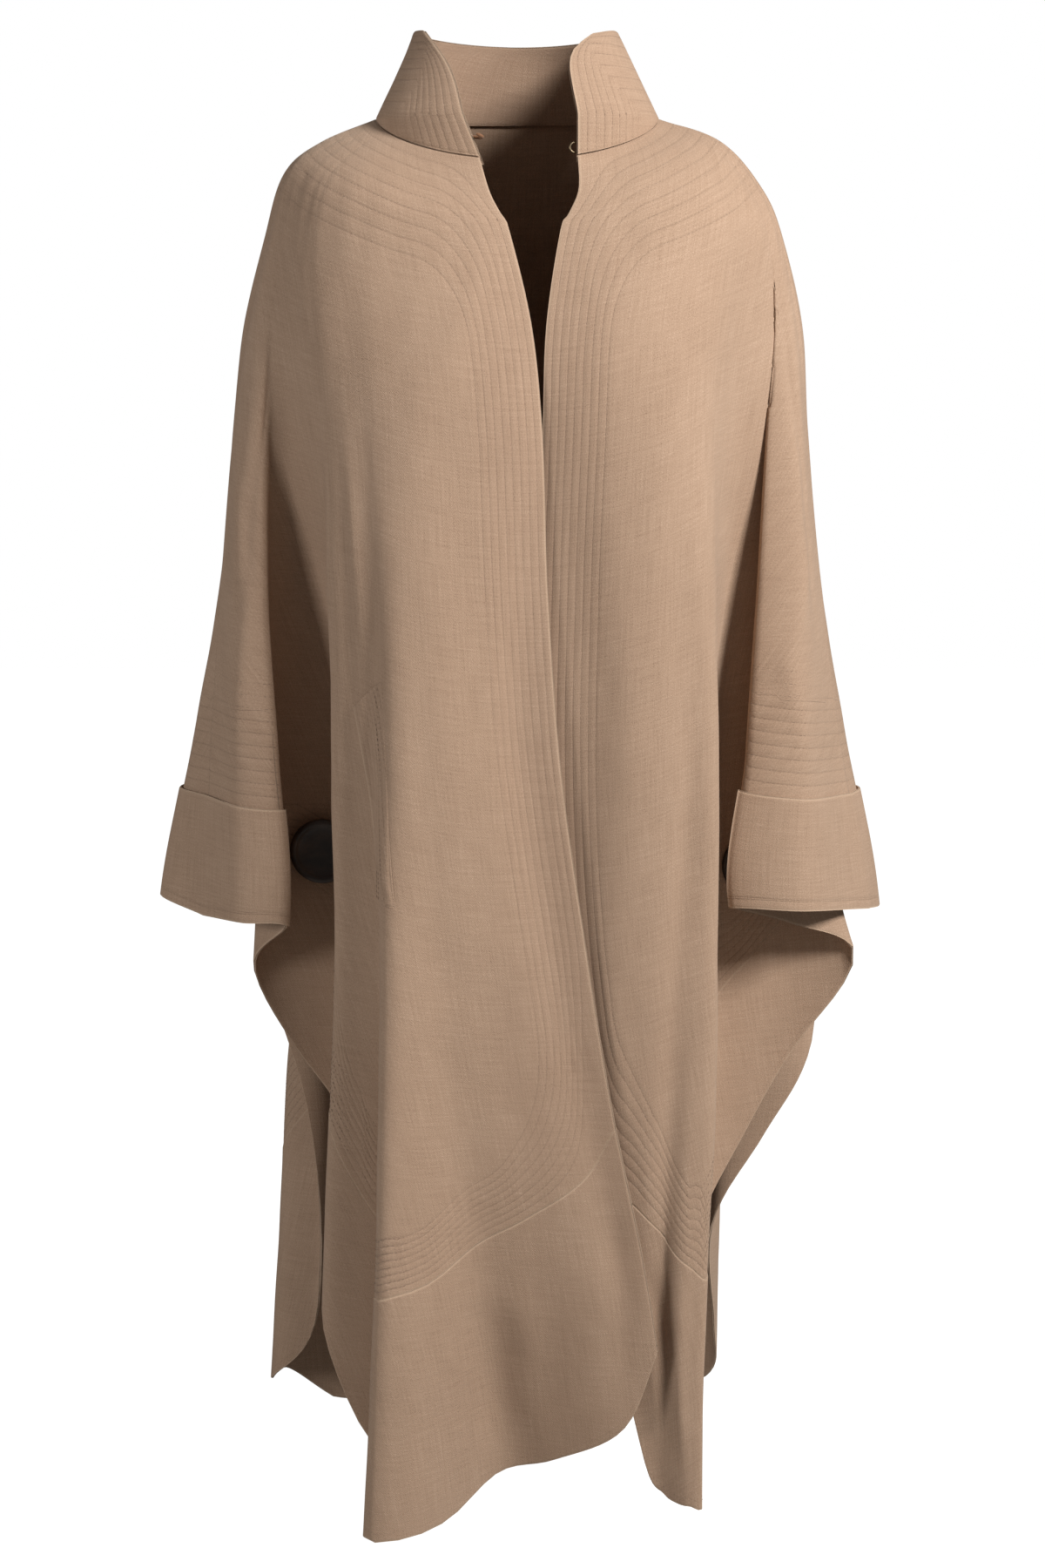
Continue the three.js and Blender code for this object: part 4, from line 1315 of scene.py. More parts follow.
class Panel:
    """A front or the back, with its hem band and the stitching on both."""

    edges = (0.0, 0.0011, 0.0032, 0.0086, 0.0094)

    def __init__(
        self,
        name: str,
        sheet: Sheet,
        band: tuple[int, int],
        centre: float,
        plan: RowPlan,
        sleeves: tuple[tuple[float, float, float, float], ...],
        fronted: bool,
    ) -> None:
        """Keep what the panel is made from.

        Args:
            name: The panel's name.
            sheet: Its surface.
            band: First and last line of its hem band.
            centre: The line where its flat coordinates start.
            plan: The topstitching.
            sleeves: First line, last line, and the cuff's top at both, in millimetres.
            fronted: Whether its first line is a free front edge.
        """
        self.name = name
        self.sheet = sheet
        self.band = band
        self.plan = plan
        self.sleeves = sleeves
        self.fronted = fronted
        self.pitch = 0.0062
        self.across = travelled(sheet.plain(sheet.fine_u[:, None], sheet.fine_w[None, :]))
        start = int(round(centre * FINE_LINES))
        self.from_centre = self.across - self.across[start]

    def seam_row(self, u: Array) -> Array:
        """Return the row of the hem band's top seam on lines u."""
        return self.sheet.row_at(u, self.sheet.edge("seam", u))

    def low_row(self, u: Array) -> Array:
        """Return the row of the cut edge on lines u."""
        return self.sheet.row_at(u, self.sheet.edge("low", u))

    def down_to(self, u: Array, row: Array) -> Array:
        """Return the metres of cloth from the neck seam to a row."""
        return looked_up(self.sheet.length, u, row)

    def row_down(self, u: float, metres: float) -> float:
        """Return the row that lies some metres of cloth below the neck seam on line u."""
        rows = self.sheet.fine_w
        return float(np.interp(metres, self.down_to(np.full(rows.shape, u), rows), rows))

    def seam_slope(self, u: Array) -> Array:
        """Return the cosine of the hem band seam's slant on lines u."""
        step = 0.06
        high, low = np.minimum(u + step, self.sheet.end), np.maximum(u - step, 0)
        ends = [self.sheet.plain(v, self.seam_row(v)) for v in (low, high)]
        moved = ends[1] - ends[0]
        level = np.linalg.norm(moved[..., :2], axis=-1)
        return level / np.maximum(np.linalg.norm(moved, axis=-1), 1e-9)

    def row_field(self, u: Array, w: Array) -> Array:
        """Return how many rows of topstitching lie between places and the nearest sewn edge."""
        plan = self.plan
        length = self.down_to(u, w)
        field_value = length / plan.neck
        if self.fronted:
            field_value = soft_least(field_value, looked_up(self.across, u, w) / plan.edge, 5.0)
        first, last = self.band
        column = u[:, 0]
        seam = self.down_to(column, self.seam_row(column))
        above = (seam[:, None] - length) * self.seam_slope(column)[:, None] / plan.seam
        start = 0 if self.fronted else 1
        outside = smooth(first + start, first + start - 0.5, u) if first else 0
        above = above + 30 * (outside + smooth(last - 1, last - 0.5, u))
        field_value = soft_least(field_value, np.maximum(above, 0), 13.0)
        for begin, end, high_begin, high_end in self.sleeves:
            share = np.clip((column - begin) / (end - begin), 0, 1)
            top = self.down_to(column, self.sheet.row_at(column, mix(high_begin, high_end, share)))
            over = np.maximum((top[:, None] - length) / plan.sleeve, 0)
            inside = (u >= min(begin, end) - 0.01) & (u <= max(begin, end) + 0.01)
            wide = np.where(over > plan.count, over + 8, over)
            field_value = np.where(inside, np.minimum(field_value, wide), field_value)
        return field_value

    def grid(self, u: Array, top: Array, low: Array) -> tuple[Array, Array]:
        """Return line and row numbers of a grid between two rows, evenly spaced on the cloth.

        Args:
            u: The grid's lines.
            top: The highest row on each line.
            low: The lowest row on each line.

        Returns:
            The line numbers and the row numbers.
        """
        share = np.linspace(0, 1, 140)
        rows = top[:, None] + (low - top)[:, None] * share
        down = self.down_to(u[:, None], rows)
        longest = float((down[:, -1] - down[:, 0]).max())
        wanted = spread(longest, self.pitch, self.edges)
        keep = max(self.edges)
        result = np.empty((len(u), len(wanted)))
        for k in range(len(u)):
            length = down[k, -1] - down[k, 0]
            inner = (wanted - keep) / (longest - 2 * keep) * (length - 2 * keep) + keep
            near = np.where(wanted < keep, wanted, inner)
            near = np.where(wanted > longest - keep, length - (longest - wanted), near)
            result[k] = np.interp(near, down[k] - down[k, 0], rows[k])
        return np.broadcast_to(u[:, None], result.shape), result

    def lines(self, first: float, last: float) -> Array:
        """Return line numbers about one pitch apart between two lines, closer at both ends."""
        fine = np.linspace(first, last, 400)
        middle = looked_up(self.across, fine, np.full(fine.shape, 7.5))
        upper = looked_up(self.across, fine, np.full(fine.shape, 4.5))
        gone = np.maximum(middle - middle[0], upper - upper[0])
        wanted = spread(float(gone[-1]), self.pitch, self.edges)
        return np.interp(wanted, gone, fine)

    def cloth(self, u: Array, w: Array, lift: float, rowed: bool) -> Cloth:
        """Return the cloth on a grid of places.

        Args:
            u: Line numbers.
            w: Row numbers.
            lift: How far the cloth's middle layer lies outside the sheet.
            rowed: Whether rows of topstitching run over it.

        Returns:
            The cloth.
        """
        points = self.sheet.point(u, w, lift)
        normals = surface_normals(points, self.sheet.normal(u, w))
        flat = np.stack([looked_up(self.from_centre, u, w), self.down_to(u, w)], axis=-1)
        rows = self.row_field(u, w) if rowed else np.zeros(u.shape)
        return Cloth(points, normals, flat, rows, rim_of(points, self.free_sides(rowed)))

    def free_sides(self, panel: bool) -> tuple[bool, bool, bool, bool]:
        """Return which of a grid's sides are visible edges: first line, last line, top and bottom."""
        if panel:
            return (self.fronted, False, False, True)
        return (True, True, True, True)

    def panel_cloth(self) -> Cloth:
        """Return the panel's cloth from the neck seam to the band's seam or the sleeve's end."""
        u = self.lines(0, self.sheet.end)
        first, last = self.band
        banded = (u >= first - 1e-6) & (u <= last + 1e-6)
        seam = self.seam_row(u)
        tucked = np.array([self.row_down(a, d + SEAM_TUCK) for a, d in zip(u, self.down_to(u, seam))])
        low = np.where(banded, tucked, self.low_row(u))
        u_grid, w_grid = self.grid(u, np.zeros(u.shape), low)
        return self.cloth(u_grid, w_grid, 0.0, True)

    def band_cloth(self) -> Cloth:
        """Return the hem band's cloth, a little proud of the panel."""
        first, last = self.band
        u = self.lines(first, last)
        seam = self.seam_row(u)
        top = np.array([self.row_down(a, d + BAND_START) for a, d in zip(u, self.down_to(u, seam))])
        u_grid, w_grid = self.grid(u, top, self.low_row(u))
        return self.cloth(u_grid, w_grid, BAND_PROUD, False)

    def sew(self, line: StitchLine) -> None:
        """Add the paths of all the panel's rows of topstitching."""
        for k in range(1, self.plan.count + 1):
            for path in self.row_paths(k):
                self.add_path(line, path)
        for begin, end, high_begin, high_end in self.sleeves:
            for k in range(1, self.plan.sleeve_count + 1):
                self.add_path(line, self.sleeve_path(begin, end, high_begin, high_end, k))

    def add_path(self, line: StitchLine, path: Array, lift: float = CLOTH / 2) -> None:
        """Add a path given by line and row numbers, finely divided, on the outer face."""
        coarse = self.sheet.plain(path[:, 0], path[:, 1])
        gone = travelled(coarse)
        fine = np.arange(0.002, gone[-1] - 0.002, 0.0032)
        if len(fine) < 2:
            return
        u, w = (np.interp(fine, gone, path[:, a]) for a in (0, 1))
        line.add(self.sheet.point(u, w, lift), self.sheet.normal(u, w))

    def sleeve_path(self, begin: float, end: float, high: float, low: float, k: int) -> Array:
        """Return the path of row k above a cuff."""
        u = np.linspace(begin, end, 40)
        top = self.down_to(u, self.sheet.row_at(u, np.linspace(high, low, 40)))
        w = [self.row_down(a, t - k * self.plan.sleeve) for a, t in zip(u, top)]
        return np.stack([u, w], axis=-1)

    def row_paths(self, k: int) -> list[Array]:
        """Return the paths of row k: along the neck seam, down a front edge and along the band."""
        fine_u, fine_w = self.sheet.fine_u, self.sheet.fine_w
        neck = np.array([self.row_down(a, k * self.plan.neck) for a in fine_u])
        seam_u = np.linspace(self.band[0] + (0 if self.fronted else 1), self.band[1] - 1, 90)
        rise = k * self.plan.seam / self.seam_slope(seam_u)
        down = self.down_to(seam_u, self.seam_row(seam_u)) - rise
        seam = np.array([self.row_down(a, d) for a, d in zip(seam_u, down)])
        if not self.fronted:
            return [np.stack([fine_u, neck], -1), np.stack([seam_u, seam], -1)]
        edge_u = np.array([
            np.interp(k * self.plan.edge, self.across[:, j], fine_u) for j in range(len(fine_w))
        ])
        starts = fine_w > np.interp(edge_u, fine_u, neck)
        ends = fine_w < np.interp(edge_u, seam_u, seam)
        upright = np.stack([edge_u, fine_w], -1)[starts & ends]
        level = np.stack([fine_u, neck], -1)[fine_u > upright[0, 0]][::-1]
        hem = np.stack([seam_u, seam], -1)[seam_u > upright[-1, 0]]
        return [rounded(self.settled(np.concatenate([level, upright, hem]), k))]

    def settled(self, path: Array, k: int) -> Array:
        """Return row k's path with its corners moved inwards on to the soft row field.

        Args:
            path: Line and row numbers of the path, with sharp corners.
            k: Which row it is.

        Returns:
            The moved path.
        """
        away = np.where(path[:, 1] < 7, 1.0, -1.0) / 2.6
        near, far = np.zeros(len(path)), np.full(len(path), 3.0)
        for _ in range(12):
            middle = (near + far) / 2
            u = np.minimum(path[:, 0] + middle, self.band[1] - 1)
            value = self.row_field(u[:, None], (path[:, 1] + middle * away)[:, None])[:, 0]
            near = np.where(value < k, middle, near)
            far = np.where(value < k, far, middle)
        shift = np.where(near > 0, far, 0.0)
        return path + np.stack([shift, shift * away], axis=-1)


def soft_least(first: Array, second: Array, reach: float) -> Array:
    """Return the lesser of two row counts, rounded where they differ by less than a reach."""
    overlap = np.maximum(reach - np.abs(first - second), 0)
    return np.maximum(np.minimum(first, second) - overlap**2 / (4 * reach), 0)


def rounded(path: Array) -> Array:
    """Return a path with its corners cut twice."""
    for _ in range(2):
        first = path[:-1] * 0.75 + path[1:] * 0.25
        second = path[:-1] * 0.25 + path[1:] * 0.75
        middle = np.stack([first, second], axis=1).reshape(-1, 2)
        path = np.concatenate([path[:1], middle, path[-1:]])
    return path


def rim_of(points: Array, sides: tuple[bool, bool, bool, bool]) -> Array:
    """Return how near a grid's points are to its visible edges, from 0 to 1."""
    from_first = travelled(points)
    from_last = from_first[-1] - from_first
    from_top = travelled(points, 1)
    from_low = from_top[:, -1:] - from_top
    away = np.full(points.shape[:2], 1.0)
    for shown, distance in zip(sides, (from_first, from_last, from_top, from_low)):
        if shown:
            away = np.minimum(away, distance)
    return 1 - smooth(0.0002, 0.0042, away)


class Collar:
    """The two layers of the stand collar: s runs from the right front edge round, h from seam to top."""

    ends = ((16.4, 62.0, 64.0), (336.7, 314.0, 62.0))
    row_pitch = 0.0102
    side_pitch = 0.0064

    def point(self, s: Array, h: Array) -> Array:
        """Return points of the collar's outer layer, in metres."""
        s, h = np.broadcast_arrays(np.asarray(s, float), np.asarray(h, float))
        (base_a, top_a, high_a), (base_b, top_b, high_b) = self.ends
        turn = (0.42 * h + 0.58 * h**6) * (1 - s) + h**12 * s
        base = base_a + (base_b - base_a) * s
        angle = base + (top_a + (top_b - top_a) * s - base) * turn
        foot = neck_point(base)[..., 2] / MM
        side = np.sin(np.radians(angle)) ** 2
        front = np.where(s < 0.5, high_a, high_b)
        start = np.where(np.cos(np.radians(angle)) > 0, front, COLLAR["top_back"])
        top = start + (COLLAR["top_side"] - start) * side
        z = (foot + COLLAR["seat"]) * (1 - h) + top * h
        lean = COLLAR["lean_right"] * (1 - s) + COLLAR["lean_left"] * s
        shrink = 1 - lean * np.maximum(z, 0) / COLLAR["top_side"]
        ring = neck_point(angle)
        x = ring[..., 0] * shrink
        y = ring[..., 1] * (1 + (shrink - 1) * 0.7)
        return np.stack([x, y, z * MM], axis=-1)

    def normal(self, s: Array, h: Array) -> Array:
        """Return the collar's outward unit normals."""
        s, h = np.broadcast_arrays(np.asarray(s, float), np.asarray(h, float))
        step = 0.01
        along = self.point(np.minimum(s + step, 1), h) - self.point(np.maximum(s - step, 0), h)
        up = self.point(s, np.minimum(h + step, 1)) - self.point(s, np.maximum(h - step, 0))
        normal = unit(np.cross(along, up))
        outward = np.sum(normal[..., :2] * self.point(s, h)[..., :2], axis=-1, keepdims=True)
        return normal * np.where(outward < 0, -1, 1)

    def wave(self, s: Array, h: Array) -> Array:
        """Return the soft unevenness of the stiff collar, in metres, none at its seam."""
        bend = np.sin(s * 21.0 + 1.3) * 0.0007 + np.sin(s * 47.0 + h * 2.0) * 0.0003
        return bend * smooth(0.05, 0.5, h)

    def layer(self, inward: float) -> Cloth:
        """Return the cloth of one layer, some metres inside the outer one."""
        base = self.point(np.linspace(0, 1, 300), 0.5)
        gone = travelled(base)
        places = spread(float(gone[-1]), 0.0046, Panel.edges)
        s = np.interp(places, gone, np.linspace(0, 1, 300))
        high = 0.078
        h = 1 - spread(high, 0.0042, Panel.edges) / high
        if inward:
            h = 1 - (1 - h) * 1.07
        s_grid, h_grid = np.meshgrid(s, h, indexing="ij")
        normal = self.normal(s_grid, h_grid)
        lift = self.wave(s_grid, h_grid) - inward
        points = self.point(s_grid, h_grid) + normal * lift[..., None]
        normals = surface_normals(points, normal)
        down = travelled(points, 1)
        side = np.minimum(gone[-1] * s_grid, gone[-1] * (1 - s_grid))
        flat = np.stack([gone[-1] * s_grid, down], axis=-1)
        rows = np.minimum(down / self.row_pitch, side / self.side_pitch)
        if inward:
            rows = np.zeros(rows.shape)
        return Cloth(points, normals, flat, rows, rim_of(points, (True, True, True, False)))

    def sew(self, line: StitchLine) -> None:
        """Add the paths of the collar's nested rows of topstitching."""
        s = np.linspace(0, 1, 400)
        base = self.point(s, np.full(400, 0.5))
        around = float(np.linalg.norm(np.diff(base, axis=0), axis=1).sum())
        for k in range(1, 7):
            edge = k * self.side_pitch / around
            across = np.linspace(edge, 1 - edge, 320)
            high = self.height_at(across, k * self.row_pitch)
            left = np.linspace(0.03, high[0], 20)[:-1]
            right = np.linspace(high[-1], 0.03, 20)[1:]
            path = np.concatenate([
                np.stack([np.full(19, edge), left], -1),
                np.stack([across, high], -1),
                np.stack([np.full(19, 1 - edge), right], -1),
            ])
            path = rounded(path)
            lift = COLLAR_WALL / 2 + self.wave(path[:, 0], path[:, 1])
            normal = self.normal(path[:, 0], path[:, 1])
            line.add(self.point(path[:, 0], path[:, 1]) + normal * lift[:, None], normal)

    def height_at(self, s: Array, below: float) -> Array:
        """Return the h that lies some metres of cloth below the top at each s."""
        h = np.linspace(1, 0, 80)
        points = self.point(s[:, None], h[None, :])
        down = travelled(points, 1)[:, 1:]
        return np.array([np.interp(below, row, h[1:]) for row in down])

    def beside(self, s: float, h: float, out: float, forward: float, up: float) -> Array:
        """Return a point given from a collar edge, in millimetres from the inner layer's middle.

        Args:
            s: 0 for the right edge or 1 for the left one.
            h: Height on the collar.
            out: Millimetres out past the edge.
            forward: Millimetres along the outward normal.
            up: Millimetres up.

        Returns:
            The point in metres.
        """
        normal = self.normal(s, h)
        inner = self.point(s, h) - normal * (COLLAR_WALL + SEAM_GAP)
        beside = s + (0.02 if s < 0.5 else -0.02)
        towards = unit(self.point(s, h) - self.point(beside, h))
        return inner + (towards * out + normal * forward + np.array([0, 0, up])) * MM


class Cuff:
    """A turned-back cuff that lies on a sleeve's end, from its front inner edge to its back one."""

    inset = 8.5 * MM

    def __init__(
        self,
        name: str,
        front: Panel,
        back: Panel,
        back_lines: tuple[float, float],
        heights: tuple[float, float],
    ) -> None:
        """Keep the cuff's places.

        Args:
            name: The cuff's name.
            front: The front that it lies on.
            back: The back that it lies on.
            back_lines: The back's overarm line and the sleeve's inner edge.
            heights: Its top at the front's inner edge and from the overarm on, in millimetres.
        """
        self.name = name
        self.front = front
        self.back = back
        self.back_lines = back_lines
        self.heights = heights

    def cloth(self) -> Cloth:
        """Return the cuff's cloth."""
        lift = CLOTH + LAID_GAP
        inner = self.front.sheet.number("sleeve inner edge")
        end = self.front.sheet.end
        parts = []
        for panel, first, last, share in (
            (self.front, inner, end, (0.0, 1.0)),
            (self.back, self.back_lines[0], self.back_lines[1], (1.0, 1.0)),
        ):
            u = np.linspace(first, last, 26)
            high = np.linspace(mix(*self.heights, share[0]), mix(*self.heights, share[1]), 26)
            top = panel.sheet.row_at(u, high)
            u_grid, w_grid = panel.grid(u, top, panel.low_row(u))
            parts.append((panel.sheet.point(u_grid, w_grid, lift), panel.sheet.normal(u_grid, w_grid)))
        rows = min(points.shape[1] for points, _ in parts)
        trimmed = [self.resampled(p, n, rows) for p, n in parts]
        points = np.concatenate([trimmed[0][0], trimmed[1][0][1:]])
        towards = np.concatenate([trimmed[0][1], trimmed[1][1][1:]])
        normals = surface_normals(points, towards)
        u_flat = travelled(points[:, rows // 2])[:, None] * np.ones((1, rows))
        v_flat = travelled(points, 1)
        flat = np.stack([u_flat, v_flat], axis=-1)
        from_low = (v_flat[:, -1:] - v_flat) / self.inset
        stitched = np.where(from_low > 1.45, 0.0, from_low)
        return Cloth(points, normals, flat, stitched, rim_of(points, (True, True, True, True)))

    @staticmethod
    def resampled(points: Array, normals: Array, rows: int) -> tuple[Array, Array]:
        """Return a grid with this many rows, taken evenly from its own."""
        pick = np.linspace(0, points.shape[1] - 1, rows)
        low = np.floor(pick).astype(int)
        high = np.minimum(low + 1, points.shape[1] - 1)
        share = (pick - low)[None, :, None]
        return (
            points[:, low] * (1 - share) + points[:, high] * share,
            unit(normals[:, low] * (1 - share) + normals[:, high] * share),
        )


@dataclass(frozen=True)
class PocketWelt:
    """The raised welt of the slanted pocket on the right front, in millimetres and line numbers."""

    top: Triple = (-487, 8.1, 5.3)
    bottom: Triple = (-668, 6.5, 4.6)
    corner: float = 14
    wall: float = 2.4 * MM
    row_pitch: float = 0.0052

    def places(self, p: Array, q: Array, sheet: Sheet) -> tuple[Array, Array]:
        """Return line and row numbers across (p) and down (q) the welt."""
        outer = self.top[1] + (self.bottom[1] - self.top[1]) * (q + 0.16 * q * (1 - q))
        inner = self.top[2] + (self.bottom[2] - self.top[2]) * q
        rounding = self.corner * (1 - p) ** 2 * (1 - q) ** 5
        height = self.top[0] + (self.bottom[0] - self.top[0]) * q - rounding + 12 * p * (1 - q)
        u = outer + (inner - outer) * p
        return u, sheet.row_at(u, height)

    def cloth(self, panel: Panel) -> Cloth:
        """Return the welt's cloth on the right front's panel."""
        edge = np.array([0.0, 0.012, 0.035])
        p = np.concatenate([edge, np.linspace(0.08, 0.92, 22), 1 - edge[::-1]])
        q = np.concatenate([edge / 2, np.linspace(0.04, 0.96, 34), 1 - edge[::-1] / 2])
        p_grid, q_grid = np.meshgrid(p, q, indexing="ij")
        u, w = self.places(p_grid, q_grid, panel.sheet)
        sunk = np.maximum(smooth(0.55, 1.0, p_grid), smooth(0.8, 1.0, q_grid))
        lift = CLOTH / 2 + self.wall / 2 + 0.00012 - sunk * self.wall * 0.94
        points = panel.sheet.point(u, w, lift)
        normals = surface_normals(points, panel.sheet.normal(u, w))
        along = travelled(points)
        flat = np.stack([looked_up(panel.from_centre, u, w), panel.down_to(u, w)], axis=-1)
        rows = along / self.row_pitch
        return Cloth(points, normals, flat, rows, rim_of(points, (True, False, False, False)))

    def sew(self, line: StitchLine, panel: Panel) -> None:
        """Add the rows of stitching that run down the welt."""
        q = np.linspace(0.015, 0.985, 60)
        share = np.linspace(0, 1, 60)
        for k in range(1, 9):
            path = []
            for value in q:
                u, w = self.places(share, np.full(60, value), panel.sheet)
                points = panel.sheet.plain(u, w)
                gone = travelled(points)
                if k * self.row_pitch > gone[-1] - 0.002:
                    continue
                path.append([np.interp(k * self.row_pitch, gone, column) for column in (u, w)])
            if len(path) > 4:
                panel.add_path(line, np.array(path), CLOTH / 2 + self.wall)


def swept_tube(
    path: Array,
    radius: Array,
    sides: int,
    closed: bool = False,
) -> tuple[Array, list[tuple[int, ...]]]:
    """Return the points and faces of a tube along a path.

    Args:
        path: Points along its middle.
        radius: Radius at each point.
        sides: Points round it.
        closed: Whether the path is a ring.

    Returns:
        The points and the faces.
    """
    count = len(path)
    tangent = unit(np.roll(path, -1, 0) - np.roll(path, 1, 0)) if closed else unit(np.gradient(path, axis=0))
    across = unit(np.cross(tangent[0], np.array([0.31, 0.27, 0.91])))
    rings = []
    for k in range(count):
        across = unit(across - tangent[k] * np.dot(across, tangent[k]))
        other = np.cross(tangent[k], across)
        angle = np.linspace(0, 2 * math.pi, sides, endpoint=False)
        circle = np.cos(angle)[:, None] * across + np.sin(angle)[:, None] * other
        rings.append(path[k] + circle * radius[k])
    points = np.concatenate(rings)
    faces = []
    for k in range(count if closed else count - 1):
        after = (k + 1) % count
        for j in range(sides):
            beside = (j + 1) % sides
            faces.append((k * sides + j, k * sides + beside, after * sides + beside, after * sides + j))
    if not closed:
        faces.append(tuple(reversed(range(sides))))
        faces.append(tuple(range((count - 1) * sides, count * sides)))
    return points, faces


@dataclass(frozen=True)
class Button:
    """A large dished button with a raised rim, seated where its solid is, in metres."""

    name: str
    radius: float = 0.030
    height: float = 0.0054
    rim: float = 0.006
    dish: float = 0.0018

    def profile(self) -> list[tuple[float, float]]:
        """Return radius and height from the middle of the face over the rim to the back."""
        r, h = self.radius, self.height
        return [
            (0.0, h - self.dish - 0.0004),
            (r * 0.3, h - self.dish - 0.00038),
            (r * 0.55, h - self.dish - 0.0002),
            (r - self.rim - 0.0035, h - self.dish),
            (r - self.rim - 0.0012, h - self.dish + 0.0005),
            (r - self.rim, h - 0.0006),
            (r - self.rim + 0.0009, h - 0.0001),
            (r - self.rim * 0.55, h),
            (r - 0.0014, h - 0.0003),
            (r - 0.0004, h - 0.0011),
            (r, h - 0.0022),
            (r, 0.0012),
            (r - 0.0004, 0.0004),
            (r - 0.0012, 0.0),
            (r * 0.5, 0.0),
            (0.0, 0.0),
        ]

    def make(self, material: Material) -> Object:
        """Return the button, facing the wearer's front, where its solid's box is."""
        low, high = (np.array(corner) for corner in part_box(self.name))
        middle = (low + high) / 2
        sides = 96
        rings = []
        for r, h in self.profile()[1:-1]:
            angle = np.linspace(0, 2 * math.pi, sides, endpoint=False)
            x, z = np.cos(angle) * r, np.sin(angle) * r
            rings.append(np.stack([middle[0] + x, np.full(sides, high[1] - h), middle[2] + z], axis=-1))
        points = np.concatenate(rings)
        front = np.array([middle[0], high[1] - self.profile()[0][1], middle[2]])
        rear = np.array([middle[0], high[1], middle[2]])
        points = np.concatenate([points, [front], [rear]])
        faces: list[tuple[int, ...]] = []
        for here in range(0, (len(rings) - 1) * sides, sides):
            there = here + sides
            for j in range(sides):
                beside = (j + 1) % sides
                faces.append((here + j, there + j, there + beside, here + beside))
        last = (len(rings) - 1) * sides
        for j in range(sides):
            beside = (j + 1) % sides
            faces.append((len(points) - 2, j, beside))
            faces.append((len(points) - 1, last + beside, last + j))
        return finished(f"{self.name}_turned", points, faces, material)


class Fastening:
    """The thread-wrapped hook and its eye at the collar's base."""

    hook_at = 0.16
    eye_at = 0.05
    wire = 1.6 * MM
    eye_wire = 0.9 * MM
    ring = 4.2 * MM
    wrap_pitch = 0.9 * MM

    def __init__(self, collar: Collar) -> None:
        """Keep the collar that both are sewn to."""
        self.collar = collar

    def hook(self, material: Material) -> Object:
        """Return the hook, wound with thread all along."""
        under = -(COLLAR_WALL + 2 * self.wire) / 2 / MM - SEAM_GAP / MM
        offsets = (
            (-9, under, 0), (-3, under, 0), (4.5, under + 0.4, 0),
            (8, under + 3, 0.6), (7.2, under + 6.4, 1.6), (4, under + 7.2, 2.4),
        )
        knots = np.array([self.collar.beside(0.0, self.hook_at, *o) for o in offsets])
        path = smooth_path(knots, 0.00022)
        gone = np.arange(len(path)) * 0.00022
        radius = self.wire * (0.93 + 0.07 * np.cos(2 * math.pi * gone / self.wrap_pitch))
        radius = radius * (1 - 0.3 * smooth(gone[-1] - 0.002, gone[-1], gone))
        points, faces = swept_tube(path, radius, 12)
        return finished("hook_wrapped", points, faces, material)

    def eye(self, material: Material) -> Object:
        """Return the eye: a round ring of wire."""
        under = -(COLLAR_WALL / 2 + self.eye_wire + SEAM_GAP) / MM
        centre = self.collar.beside(1.0, self.eye_at, 1.2, under, 1)
        normal = self.collar.normal(1.0, self.eye_at)
        across = unit(np.cross(normal, np.array([0, 0, 1.0])))
        up = np.cross(across, normal)
        angle = np.linspace(0, 2 * math.pi, 64, endpoint=False)[:, None]
        path = centre + (np.cos(angle) * across + np.sin(angle) * up) * self.ring
        points, faces = swept_tube(path, np.full(64, self.eye_wire), 14, closed=True)
        return finished("eye_wire_ring", points, faces, material)

    def bindings(self) -> StitchLine:
        """Return the threads that bind the hook and the eye to the collar."""
        line = StitchLine("hook_and_eye_bindings")
        up = np.array([0, 0, 1.0])
        loops = (
            (0.0, self.hook_at, -6.5, 1.9),
            (0.0, self.hook_at, -4.0, 1.9),
            (1.0, self.eye_at, -2.0, 1.5),
        )
        for s, h, out, wide in loops:
            centre = self.collar.beside(s, h, out, -COLLAR_WALL / MM, 0)
            normal = self.collar.normal(s, h)
            angle = np.linspace(0.2, math.pi - 0.2, 12)[:, None]
            path = centre - normal * np.sin(angle) * wide * MM * 1.6 + up * np.cos(angle) * wide * MM * 1.3
            line.add(path, np.broadcast_to(-normal, path.shape).copy())
        return line


def smooth_path(knots: Array, step: float) -> Array:
    """Return an evenly divided smooth path through some points."""
    wide = extended(knots, 0)
    pieces = []
    for k in range(len(knots) - 1):
        weights = curve_weights(np.linspace(0, 1, 60, endpoint=False))
        pieces.append(weights @ wide[k:k + 4])
    fine = np.concatenate([*pieces, knots[-1:]])
    gone = travelled(fine)
    wanted = np.arange(0, gone[-1], step)
    return np.stack([np.interp(wanted, gone, fine[:, a]) for a in range(3)], axis=-1)
